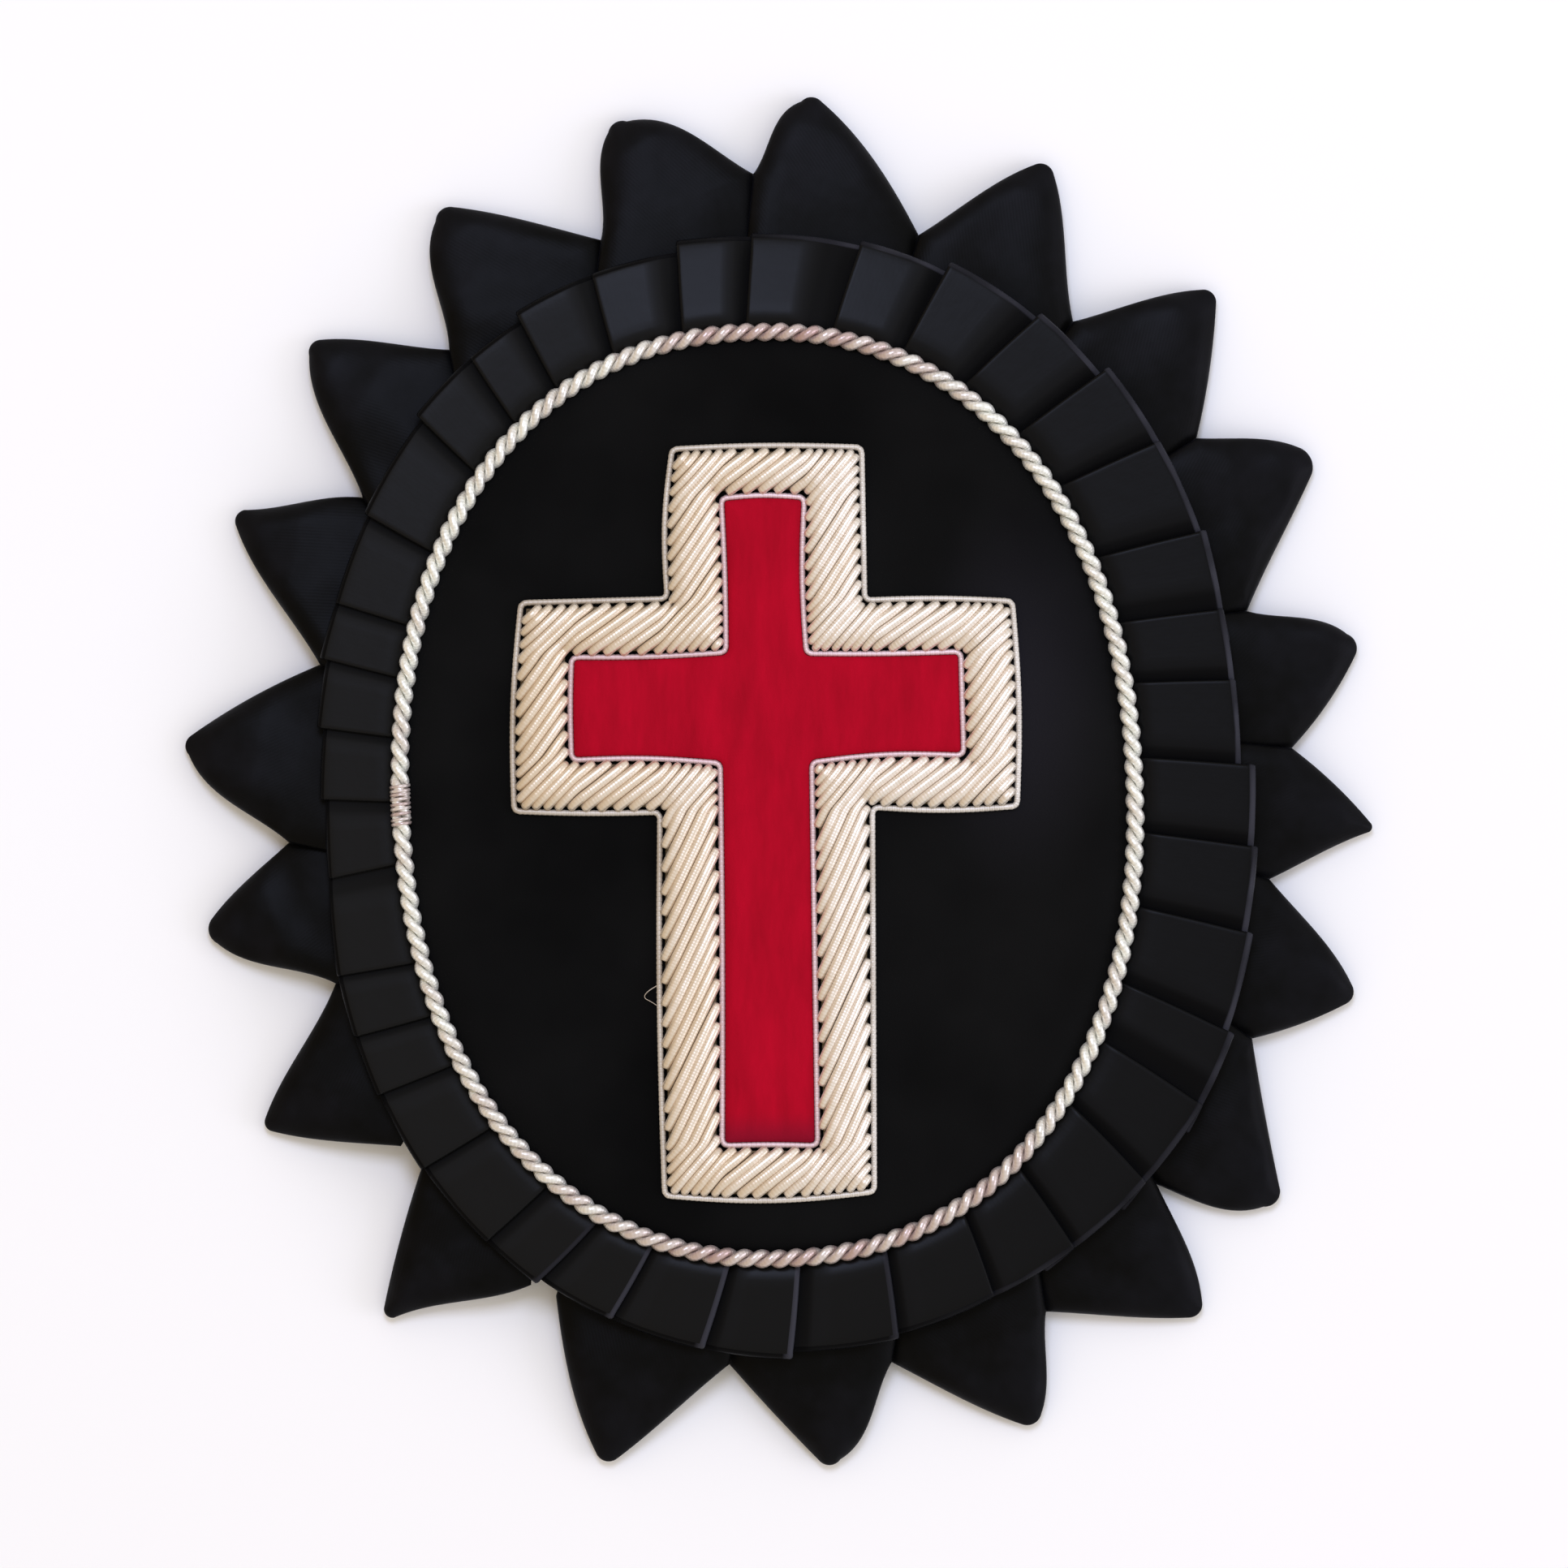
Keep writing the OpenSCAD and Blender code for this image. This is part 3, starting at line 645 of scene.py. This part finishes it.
# clockwise: direction of the open fold at the cord and at the outer edge, how far it stands out past the
# seam, over how many degrees the panel then drops into the next fold, how high the fold lies
pleatRows = [
    (11.5, 13.1, 10.3, 3.0, 0.75), (22.4, 23.5, 11.1, 2.8, 0.7), (32.8, 35.3, 11.45, 2.5, 0.65),
    (43.5, 44.9, 12.25, 2.0, 0.6), (52.9, 54.7, 12.0, 2.0, 0.55), (63.6, 65.5, 12.2, 2.8, 0.55),
    (72.3, 73.9, 11.45, 1.8, 0.5), (79.7, 81.2, 11.25, 1.7, 0.5), (88.0, 89.4, 12.45, 1.7, 0.6),
    (95.4, 96.7, 12.6, 1.9, 0.52), (104.0, 105.3, 12.9, 2.2, 0.52), (113.6, 115.8, 13.3, 3.6, 0.52),
    (121.6, 124.0, 12.9, 2.1, 0.6), (131.3, 134.3, 11.75, 2.0, 0.6), (143.1, 145.2, 10.65, 1.8, 0.6),
    (153.7, 156.1, 9.7, 2.1, 0.6), (166.5, 168.3, 9.85, 2.3, 0.62), (178.7, 180.1, 10.3, 1.8, 0.68),
    (187.6, 189.7, 9.65, 1.8, 0.68), (199.2, 201.0, 9.1, 2.0, 0.65), (208.2, 210.9, 9.4, 2.5, 0.6),
    (217.4, 218.6, 9.2, 1.7, 0.58), (229.0, 230.0, 9.2, 1.7, 0.55), (239.0, 239.9, 9.2, 1.4, 0.5),
    (246.0, 246.9, 9.0, 1.3, 0.5), (253.0, 253.8, 8.8, 2.8, 0.5), (264.8, 264.0, 7.9, 1.4, 0.5),
    (270.9, 271.4, 8.2, 1.4, 0.5), (277.8, 278.5, 8.6, 1.4, 0.5), (284.8, 285.8, 9.0, 1.6, 0.52),
    (291.4, 292.0, 8.6, 1.7, 0.55), (301.4, 302.6, 8.7, 2.2, 0.6), (313.9, 315.6, 9.1, 2.2, 0.62),
    (322.9, 324.9, 8.8, 2.3, 0.65), (331.0, 332.5, 9.5, 2.6, 0.7), (340.9, 342.5, 9.2, 2.9, 0.8),
    (351.5, 353.0, 10.1, 2.2, 0.85), (359.9, 360.9, 10.1, 5.2, 0.85),
]


def soften(values):
    # takes the corners out of a row of heights or places
    for _ in range(2):
        values = np.concatenate([values[:1], (values[:-2] + 2 * values[1:-1] + values[2:]) / 4, values[-1:]])
    return values


def pleatedStrip(share):
    # the strip's rows, with a direction, way out, height and depth in a fold for every station across
    low, rise = (soften(ramp(share, [(row[0], row[n]) for row in ribbon["across"]])) for n in (1, 2))
    thick, tuck, apart = ribbon["thickness"], ribbon["tuck"], ribbon["layerGap"]
    count = len(pleatRows)
    lift = np.array([row[4] for row in pleatRows]) * dice.uniform(0.96, 1.04, count)
    sway = dice.uniform(0.93, 1.07, count)
    rows = []

    def lay(at, out, height, depth):
        rows.append((at, out, height, 0 * share + depth))

    for k in range(count):
        here, following = pleatRows[k], pleatRows[(k + 1) % count]
        lap = 360 if k == count - 1 else 0
        atHere = between(here[0], here[1], share)
        atNext = between(following[0], following[1], share) + lap
        # the heights of this open fold and the next, and of the tail between them
        drop, nextDrop = (ramp(row[0] % 360, ribbon["slope"]) * share for row in (here, following))
        base, nextBase = (low + ramp(row[0] % 360, ribbon["raised"]) for row in (here, following))
        crest = base + rise * lift[k] - drop - thick / 2
        nextCrest = nextBase + rise * lift[(k + 1) % count] - nextDrop - thick / 2
        tail = np.maximum(base - drop - apart, ribbon["lowest"]) - thick / 2
        tail = np.minimum(tail, nextCrest - 2 * (thick + apart))
        loop, nextLoop = (
            (thick + np.minimum(ribbon["foldGap"] * lift[n % count],
                                np.maximum(ribbon["leastFoldGap"], (top - tail) / 2 - thick))) / 2
            for n, top in ((k, crest), (k + 1, nextCrest)))
        out = between(ribbon["inner"], here[2], share)
        pace = np.linalg.norm(seamPlace(atHere + 0.5, out) - seamPlace(atHere - 0.5, out), axis=-1)
        # the open fold turns up from the layer beneath
        for turn in np.radians(ribbon["openTurn"]):
            at = atHere + loop * (1 - np.cos(turn)) / pace
            lay(at, out, crest - loop + loop * np.sin(turn), turn < -0.1)
        # the panel that shows, and its tail under the next fold
        steep = here[3] * sway[k] / (following[0] + lap - here[0])
        level = 1 - steep
        reachEnd = min(following[2] - 0.05, here[2] - 0.3)
        spots = [level * np.array(ribbon["level"]), level + steep * np.linspace(*ribbon["steep"]),
                 1 + tuck * np.array(ribbon["tail"])]
        for f in np.concatenate(spots):
            at = atHere + loop / pace + (atNext - atHere) * f
            reach = between(here[2], reachEnd, min(f, 1.0))
            fall = np.clip((f - level) / steep / ribbon["fall"], 0, 1)
            fall = between(min(f, 1.0), fall * fall * (3 - 2 * fall), ribbon["fall"])
            height = crest + (tail - crest) * fall - ribbon["tailFall"] * max(0.0, f - 1)
            shelter = np.clip((f - level + 0.25 * steep) / (0.5 * steep), 0, 1)
            lay(at, between(ribbon["inner"], reach, share), height, shelter)
        # the hidden fold, and the layer that comes back over the tail to the next open fold
        inner = (thick + apart) / 2
        atEnd, bottom = atHere + (atNext - atHere) * (1 + tuck), tail - ribbon["tailFall"] * tuck
        outEnd, outNext = (between(ribbon["inner"], reach, share) for reach in (reachEnd, following[2]))
        for turn in np.radians(ribbon["hiddenTurn"]):
            lay(atEnd + inner * np.cos(turn) / pace, outEnd, bottom + inner + inner * np.sin(turn), 1)
        for g in ribbon["back"]:
            lay(between(atEnd, atNext + nextLoop / pace, g), between(outEnd, outNext, g),
                between(bottom + 2 * inner, nextCrest - 2 * nextLoop, g), 1)
    return (np.array([row[n] for row in rows]) for n in range(4))


def makeRibbon():
    share, thick, count = np.array(ribbon["stations"]), ribbon["thickness"], len(pleatRows)
    at, out, height, shelter = pleatedStrip(share)
    # the edge turns down, and the lowest parts are pressed flat on the backing
    height = height - ramp(share, ribbon["edge"])
    below, softness, least = ribbon["pressed"]
    pressed = thick * least + softness * np.exp((np.minimum(height, below) - below) / softness)
    height = np.where(height < below, pressed, height)
    middle = withHeight(seamPlace(at, out), height + ribbon["height"])
    along = np.roll(middle, -1, 0) - np.roll(middle, 1, 0)
    normal = unit(np.cross(np.gradient(middle, axis=1), along))
    offset = normal * (thick / 2 * ramp(share, ribbon["selvedge"]))[None, :, None]
    mesh, faces = ringMesh(np.concatenate([middle + offset, (middle - offset)[:, ::-1]], 1), closed=True)
    rows, stations = len(middle), 2 * len(share)
    way = lengths(middle[:, len(share) // 2])
    width = np.concatenate([share, share[::-1]]) * ribbon["markWidth"]
    cloth = np.stack(np.broadcast_arrays(way[:, None], width[None], 0.0), -1)
    # the painted highlight on the outer edge, on both sides: most where a panel ends, and in places over
    # less of its width
    edgeWay = at[:, -1]
    starts = np.array([row[1] for row in pleatRows])
    alongPleat = np.interp(edgeWay, np.append(starts, starts[0] + 360), np.arange(count + 1)) % 1
    uneven = 0.5 + 0.42 * alongPleat + 0.2 * np.sin(edgeWay * 0.9 + 1.3 * np.sin(edgeWay * 0.37))
    highlightAmount = np.repeat((ramp(edgeWay % 360, ribbon["highlightAmount"]) * uneven)[:, None], stations, 1)
    edgeFrom, edgeTo = len(share) - ribbon["highlightStations"], len(share) + ribbon["highlightStations"] - 1
    patchyHighlight = np.clip(0.45 + 0.5 * np.sin(edgeWay * 0.71) * np.sin(edgeWay * 0.23 + 1), 0, 1)
    highlightAmount[:, [edgeFrom, edgeTo]] *= patchyHighlight[:, None]
    rowOf, stationOf = np.divmod(np.arange(len(faces)), stations)
    slots = ((stationOf >= edgeFrom) & (stationOf < edgeTo)).astype(np.int32)
    # the painted highlight also goes over the lips of a few folds
    shares = np.array(ribbon["highlightShares"])
    for fold, amount in ribbon["paintedHighlight"].items():
        first = fold * rows // count + ribbon["highlightRow"]
        highlightAmount[first:first + len(shares)] = amount * shares[:, None]
        slots[(rowOf >= first) & (rowOf < first + len(shares) - 1)] = 1
    silk, _, _ = blackRibbon("black grosgrain ribbon")
    piece = makePiece("pleatedRibbon", mesh, faces, silk,
                      {"cloth": cloth.reshape(-1, 3), "age": highlightAmount.ravel(),
                       "fold": np.concatenate([shelter, shelter[:, ::-1]], 1).ravel()})
    piece.data.materials.append(selvedgeWithPaintedHighlight())
    piece.data.polygons.foreach_set("material_index", slots)
    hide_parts("pleated_ribbon")


makeRibbon()
print("ribbon pleated")


velvet = {
    "floor": 5.05, "top": 8.2, "clear": 0.3, "directions": 180,
    # its lower edge: way in from the outline, height over the floor
    "foot": [(1.5, 0), (0.25, 0), (0, 0.25)],
    # way in from the outline, drop under the top
    "edge": [(0, 2.2), (0.12, 1.75), (0.4, 1.3), (0.8, 0.95), (1.4, 0.6), (2.2, 0.3), (3.2, 0.1),
             (4.4, 0.0), (7, 0.02), (11, 0.0), (15, 0.03), (19, 0.0), (24, 0.02)],
    # the quilted surface dips a little: waves, their size and height, deepest dip
    "dips": (3, 16.0, 0.07), "deepest": 0.09,
}


def makeVelvet():
    at, _ = evenDirections(velvet["directions"])
    rings = [withHeight(seamPlace(at, -velvet["clear"] - inward), velvet["floor"] + z)
             for inward, z in velvet["foot"]]
    for inward, drop in velvet["edge"]:
        flat = seamPlace(at, -velvet["clear"] - inward)
        dip = np.clip(ripples(flat, *velvet["dips"]), -velvet["deepest"], 0.0)
        rings.append(withHeight(flat, velvet["top"] - drop + dip))
    points, faces = ringMesh(rings)
    piece = makePiece("velvetField", points, faces, blackVelvet())
    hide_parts("velvet_field")


makeVelvet()
print("velvet made")


# the twisted cord: two strands round each other, their ends joined at the left
cord = {
    "strand": 0.49, "offset": 0.49, "height": 7.5, "lumps": 155, "ringsPerLump": 13, "sides": 14,
    # how much the twist loosens and tightens, how often on the way round, and how far the coils of a strand
    # stretch out along the cord
    "wobble": 0.04, "wobbles": 37, "strandLength": 1.28,
    # a fine thread is whipped over the join, between these directions; reach is from the cord's middle
    "whipping": {"from": 268.8, "to": 272.7, "turns": 9, "ringsPerTurn": 20, "reach": 0.89, "thread": 0.19,
                 "sides": 8},
    # a dull pink reflection painted into the colour, most at the top and bottom: direction, how much
    "age": [(0, 0.95), (20, 0.6), (45, 0), (105, 0), (130, 0.2), (150, 0.7), (190, 0.8), (215, 0.25),
            (250, 0.15), (275, 0.15), (300, 0), (335, 0.1), (360, 0.95)],
}


def woundStrand(at, out, rise, radius, sides, closed):
    # a strand that winds round the cord's middle line
    path = withHeight(seamPlace(at, out), cord["height"] + rise)
    core = withHeight(seamPlace(at, 0.0), cord["height"])
    along = wayAlong(path, closed)
    side = unit(np.cross(along, unit(path - core)))
    return wireRings(path, side, np.cross(side, along), radius, sides, closed)


def makeCord():
    count, sides = cord["lumps"] * cord["ringsPerLump"], cord["sides"]
    at, around = evenDirections(count)
    at = np.concatenate([at, at])
    step = np.arange(2 * count)
    # half a turn for each lump; an odd number of lumps makes the first strand run on into the second
    turn = -math.pi * cord["lumps"] * step / count
    wobble = 1 + cord["wobble"] * np.sin(step * math.pi / count * cord["wobbles"])
    strands = woundStrand(at, cord["offset"] * np.cos(turn) * wobble, cord["offset"] * np.sin(turn),
                          cord["strand"], sides, True)
    way = step / count * around * cord["strandLength"]
    angle = np.arange(sides) / sides * 2 * math.pi
    marks = np.stack(np.broadcast_arrays(way[:, None], angle[None] / 6, 0.0), -1).reshape(-1, 3)
    # the painted reflection by direction, with each lump a little different
    lumpShift = np.repeat(dice.uniform(-0.25, 0.2, 2 * cord["lumps"]), cord["ringsPerLump"])
    age = np.clip(ramp(at % 360, cord["age"]) + lumpShift, 0, 1)
    whip = cord["whipping"]
    wind = np.linspace(0, 1, whip["ringsPerTurn"] * whip["turns"])
    turn = 2 * math.pi * (whip["turns"] * wind + 0.1 * np.sin(wind * 17))
    whipping = woundStrand(between(whip["from"], whip["to"], wind), whip["reach"] * np.cos(turn),
                           whip["reach"] * np.sin(turn), whip["thread"], whip["sides"], False)
    points, faces = joined([strands, whipping])
    marks = np.concatenate([marks, wireMarks(wind * 9, whip["sides"])])
    age = np.concatenate([np.repeat(age, sides), np.repeat(0.6 + 0.2 * np.sin(wind * 31), whip["sides"])])
    finish = silverWire("silver twisted cord", "#FFFFF6", "#E6E6DD", "#C2A6A0", 0.34, 0.3, 0.6)
    piece = makePiece("twistedCord", points, faces, finish, {"wire": marks, "age": age})
    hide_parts("twisted_cord")


makeCord()
print("cord twisted")


# the cross: edging wires, bullion over padding, and red cloth
cross = {
    "height": 8.3, "corner": 0.75, "cornerSteps": 7, "sideSteps": 24, "leastCorner": 0.06,
    # how far each side bows outward, clockwise from the top
    "outerBows": (0.24, 0.0, 0.19, 0.38, 0.3, 0.0, 0.63, 0.27, 0.13, 0.41, 0.0, 0.44),
    "innerBows": (0.2, -0.28, -0.1, 0.0, -0.38, 0.0, -0.08, -0.1, -0.28, 0.1, -0.17, -0.1),
}
# clockwise from the top left: the outer edging's corner, the inner edging's corner
crossRows = [
    (-11.0, 34.1, -5.9, 29.1), (8.5, 34.3, 2.6, 29.2), (8.8, 18.6, 2.8, 13.1),
    (24.0, 18.5, 18.7, 13.3), (24.5, -2.6, 19.0, 2.7), (9.6, -2.7, 3.4, 2.0),
    (9.8, -42.2, 4.0, -37.4), (-11.7, -42.6, -5.8, -37.4), (-12.2, -3.2, -6.0, 1.9),
    (-27.2, -3.1, -21.3, 2.2), (-26.5, 18.3, -21.3, 12.7), (-11.5, 18.7, -5.4, 13.2),
]
outerCorners = np.array([row[:2] for row in crossRows])
innerCorners = np.array([row[2:] for row in crossRows])


def insetCorners(corners, inset):
    # the corners moved inward, and which way each one turns
    before, after = unit(corners - np.roll(corners, 1, 0)), unit(np.roll(corners, -1, 0) - corners)
    turn = before[:, 0] * after[:, 1] - before[:, 1] * after[:, 0]
    return corners + (before - after) * inset / turn[:, None], np.sign(turn)


def bowedSide(a, b, corner, following, bow, share):
    outward = leftOf(unit(following - corner))
    return between(a, b, share) + outward * bow * np.sin(math.pi * share)


def outline(corners, bows, inset=0.0, steps=6):
    # the twelve-sided outline with its sides bowed, each in a few steps
    corners, _ = insetCorners(corners, inset)
    share = np.arange(steps)[:, None] / steps
    return np.concatenate([bowedSide(a, b, a, b, bow, share)
                           for a, b, bow in zip(corners, np.roll(corners, -1, 0), bows)])


def roundedRing(corners, bows, inset=0.0):
    # a line round the corners, each one rounded and each side bowed; an inset keeps it beside the first one
    corners, turn = insetCorners(corners, inset)
    cuts = np.maximum(cross["corner"] + inset * turn, cross["leastCorner"])
    s = np.linspace(0, 1, cross["cornerSteps"])[:, None]
    share = np.linspace(0, 1, cross["sideSteps"])[1:-1, None]
    pieces = []
    for k, corner in enumerate(corners):
        after = (k + 1) % len(corners)
        last, following = corners[k - 1], corners[after]
        a, b = corner + unit(last - corner) * cuts[k], corner + unit(following - corner) * cuts[k]
        pieces.append(a * (1 - s) ** 2 + corner * 2 * s * (1 - s) + b * s * s)
        nextA = following + unit(corner - following) * cuts[after]
        pieces.append(bowedSide(b, nextA, corner, following, bows[k], share))
    return np.concatenate(pieces)


def roundedLoop(corners, bows, step):
    # the same line, cut into even steps
    loop = roundedRing(corners, bows)
    loop = np.concatenate([loop, loop[:1]])
    way = lengths(loop)
    count = int(round(way[-1] / step))
    return atLengths(loop, way, np.arange(count) / count * way[-1]), way[-1]


edging = {
    "radius": 0.32, "bead": 0.5, "ringsPerBead": 4, "relief": 0.05, "sides": 10,
    # painted shade, darker toward the left, with uneven patches: how much in the middle, how many
    # millimetres to the right clear it, waves, their size and height
    "age": (0.35, 60), "shiftRipples": (3, 14.0, 0.4),
}
# a fine thread that hangs out of the outer edging's left side: share of its length, x, y, height
looseThread = {"thread": 0.05, "thinning": 0.3, "rings": 25, "sides": 8, "rows": [
    (0, -12.35, -20.9, 8.6), (0.35, -13.35, -21.5, 8.9), (0.55, -13.85, -22.0, 8.75),
    (0.65, -13.8, -22.35, 8.6), (0.8, -13.3, -22.5, 8.55), (1, -12.4, -23.1, 8.55)]}


def makeEdging(name, corners, bows, node, finish, loose=None):
    # pearl purl: a round wire wound so that its turns show as a row of beads
    perBead, sides = edging["ringsPerBead"], edging["sides"]
    loop, around = roundedLoop(corners, bows, edging["bead"] / perBead)
    count = len(loop) // perBead * perBead
    loop, around = roundedLoop(corners, bows, around / (count - 0.25))  # a whole number of beads
    loop = loop[:count]
    phase = np.arange(count) / perBead * 2 * math.pi
    radius = edging["radius"] * (1 - edging["relief"] + edging["relief"] * np.cos(phase))
    parts = [tube(withHeight(loop, cross["height"] + edging["radius"]), radius, sides, closed=True)]
    marks = wireMarks(np.arange(count) / count * around, sides)
    most, clear = edging["age"]
    # painted shade toward the left, with uneven patches
    age = np.repeat(np.clip(most - loop[:, 0] / clear + ripples(loop, *edging["shiftRipples"]), 0, 1), sides)
    if loose:
        # a couching thread has come loose and sticks out as a small loop
        rows, turns = np.array(loose["rows"]), np.linspace(0, 1, loose["rings"])
        route = soften(soften(soften(atLengths(rows[:, 1:], rows[:, 0], turns))))
        parts.append(tube(route, loose["thread"] * (1.05 - loose["thinning"] * turns), loose["sides"]))
        marks = np.concatenate([marks, wireMarks(0 * turns, loose["sides"])])
        age = np.concatenate([age, np.ones(loose["rings"] * loose["sides"])])
    points, faces = joined(parts)
    piece = makePiece(name, points, faces, finish, {"wire": marks, "age": age})
    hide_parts(node)


def segmentDistance(places, corners):
    # shortest way from each place to the outline through the corners
    best = np.full(len(places), np.inf)
    for a, b in zip(corners, np.roll(corners, -1, 0)):
        share = np.clip((places - a) @ (b - a) / ((b - a) @ (b - a)), 0, 1)
        best = np.minimum(best, np.linalg.norm(places - a - share[:, None] * (b - a), axis=1))
    return best


def insideOutline(places, corners):
    inside = np.zeros(len(places), bool)
    x, y = places.T
    for a, b in zip(corners, np.roll(corners, -1, 0)):
        crosses = (a[1] > y) != (b[1] > y)
        inside ^= crosses & (x < (b[0] - a[0]) * (y - a[1]) / (b[1] - a[1] + 1e-12) + a[0])
    return inside


bullion = {
    "height": 1.75, "endGap": 0.1, "step": 0.16, "fewestRings": 8, "sides": 10, "squash": 0.95, "sunk": 0.6,
    # a wire's radius as a share of the way between wires, how much its turns stand out, and how far along
    # the pattern each next wire starts
    "halfWidth": 0.54, "relief": 0.006, "patternShift": 3.7,
    # how unevenly they are laid, the shortest one, and the steps in which their lines are worked out
    "unevenness": 0.07, "shortest": 0.9, "fine": 0.02, "coarse": 0.04, "fewestSteps": 20,
    # the padding's rounded profile: way in from the edging, share of the height
    "profile": [(0, 0.5), (0.2, 0.66), (0.45, 0.79), (0.8, 0.89), (1.3, 0.97), (1.9, 1.0)],
    # a wire's end: way from it, share of the radius
    "taper": [(0, 0.7), (0.16, 0.92), (0.34, 1.0)],
    # painted shade, darker and warmer toward the left and most on the left arm: x, how much; and how much
    # the wires differ
    "age": [(-27, 0.75), (-12, 0.5), (-4, 0.45), (4, 0.1), (25, 0)], "shiftSpread": 0.2,
    # the felt under the wires: way in from both edges, and share across, height
    "feltInset": 0.62,
    "felt": [(0, 0), (0, 0.3), (0.12, 0.6), (0.3, 0.85), (0.5, 0.92), (0.7, 0.85), (0.88, 0.6), (1, 0.3),
             (1, 0)],
}
# how densely the bullion wires lie along x and along y, in wires a millimetre, which sets their slant:
# flatter on the level bands, steeper on the upright ones
wiresAlongX = [(-30, 0.82), (-21.3, 0.82), (-20.3, 0.61), (-12.6, 0.61), (-11.6, 0.92), (-6.2, 0.92),
               (-5.2, 0.62), (2.4, 0.62), (3.4, 0.97), (9.4, 0.97), (10.4, 0.605), (18.2, 0.605),
               (19.2, 0.82), (30, 0.82)]
wiresAlongY = [(-50, 0.79), (-37.8, 0.79), (-36.8, 0.437), (-3.4, 0.437), (-2.4, 0.8), (2.0, 0.8),
               (3.0, 0.577), (12.6, 0.577), (13.6, 0.86), (18.2, 0.86), (19.2, 0.617), (28.7, 0.617),
               (29.7, 0.83), (40, 0.83)]


def wireLines(outer, inner):
    # the middle line and length of every wire, where the slanting lines cross the band between the outlines
    fine, coarse = bullion["fine"], bullion["coarse"]
    x, y = np.arange(-30, 30, fine), np.arange(-46, 38, fine)
    sumX, sumY = np.cumsum(ramp(x, wiresAlongX)) * fine, np.cumsum(ramp(y, wiresAlongY)) * fine
    for k in range(math.floor(sumX[0] - sumY[-1]), math.ceil(sumX[-1] - sumY[0]) + 1):
        level = k + dice.uniform(-bullion["unevenness"], bullion["unevenness"])
        line = np.stack([x, np.interp(sumX - level, sumY, y, left=np.nan, right=np.nan)], -1)
        line = line[~np.isnan(line[:, 1])]
        if len(line) < bullion["fewestSteps"]:
            continue
        way = lengths(line)
        line = atLengths(line, way, np.arange(0, way[-1], coarse))
        shown = insideOutline(line, outer) & ~insideOutline(line, inner)
        edges = np.flatnonzero(np.diff(np.concatenate([[0], shown.astype(int), [0]])))
        for a, b in zip(edges[::2], edges[1::2]):
            span = (b - a) * coarse
            if span < bullion["shortest"]:
                continue
            count = max(bullion["fewestRings"], int(round(span / bullion["step"])) // 2 * 2 + 1)
            yield atLengths(line[a:b], np.arange(b - a), np.linspace(0, b - a - 1, count)), span


def makeBullion():
    ends, sides, floor = edging["radius"] + bullion["endGap"], bullion["sides"], cross["height"]
    outer = outline(outerCorners, cross["outerBows"], ends)
    inner = outline(innerCorners, cross["innerBows"], -ends)
    wires, marks, colourShifts = [], [], []
    for run, span in wireLines(outer, inner):
        count = len(run)
        distance = np.minimum(segmentDistance(run, outer), segmentDistance(run, inner))
        radius = bullion["halfWidth"] / np.hypot(ramp(run[:, 0], wiresAlongX), ramp(run[:, 1], wiresAlongY))
        toEnd = np.minimum(np.arange(count), np.arange(count)[::-1]) * span / (count - 1)
        relief = 1 + bullion["relief"] * (-1.0) ** np.arange(count)
        radius = radius * ramp(toEnd, bullion["taper"]) * relief
        ridge = floor + bullion["height"] * ramp(distance, bullion["profile"])
        lowest = floor + radius * bullion["sunk"]
        path = withHeight(run, np.maximum(ridge - radius * bullion["squash"], lowest))
        way = np.arange(count) * span / (count - 1) + len(wires) * bullion["patternShift"]
        wires.append(tube(path, radius, sides, squash=bullion["squash"]))
        marks.append(wireMarks(way, sides))
        # painted shade toward the left, a little different for each wire
        age = ramp(run[:, 0], bullion["age"]) + dice.uniform(-bullion["shiftSpread"], bullion["shiftSpread"])
        colourShifts.append(np.repeat(np.clip(age, 0, 1), sides))
    points, faces = joined(wires)
    finish = silverWire("silver bullion purl", "#F7EEE2", "#E5D8C5", "#E4D2B7", 0.4, 0.32, 0.72)
    piece = makePiece("bullionWires", points, faces, finish,
                      {"wire": np.concatenate(marks), "age": np.concatenate(colourShifts)})
    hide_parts("bullion_border")
    print("bullion wires laid:", len(wires))

    low = outline(innerCorners, cross["innerBows"], -bullion["feltInset"])
    high = outline(outerCorners, cross["outerBows"], bullion["feltInset"])
    points, faces = ringMesh([withHeight(between(low, high, s), floor + h) for s, h in bullion["felt"]],
                             closed=True)
    felt, *_ = pressedFelt("padding felt", {"Scale": 1800.0, "Detail": 5.0}, "#5A4E3A", "#85755A")
    core = makePiece("bullionPadding", points, faces, felt)


# the red cloth is tucked against the inner edging: way in from it, height
redCloth = {
    "tuck": 0.01,
    "section": [(0.3, 0), (0, 0.1), (0, 0.5), (0.04, 0.66), (0.14, 0.78), (0.35, 0.9), (0.7, 1.0),
                (1.4, 1.08), (2.4, 1.12)],
}


def makeRedCross():
    inset = edging["radius"] - redCloth["tuck"]
    points, faces = ringMesh([
        withHeight(roundedRing(innerCorners, cross["innerBows"], inset + inward), cross["height"] + z)
        for inward, z in redCloth["section"]])
    piece = makePiece("redCross", points, faces, redVelveteen())
    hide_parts("red_cross")


makeEdging("outerEdging", outerCorners, cross["outerBows"], "outer_edging",
           silverWire("silver pearl purl", "#E6E0D6", "#C8BFB3", "#BBAF9E", 0.42, 0.25, 0.3), looseThread)
makeEdging("innerEdging", innerCorners, cross["innerBows"], "inner_edging",
           silverWire("silver pearl purl by the red", "#F3DCDF", "#DCBFC2", "#D2B4B2", 0.42, 0.25, 0.3))
makeBullion()
makeRedCross()
print("cross embroidered")
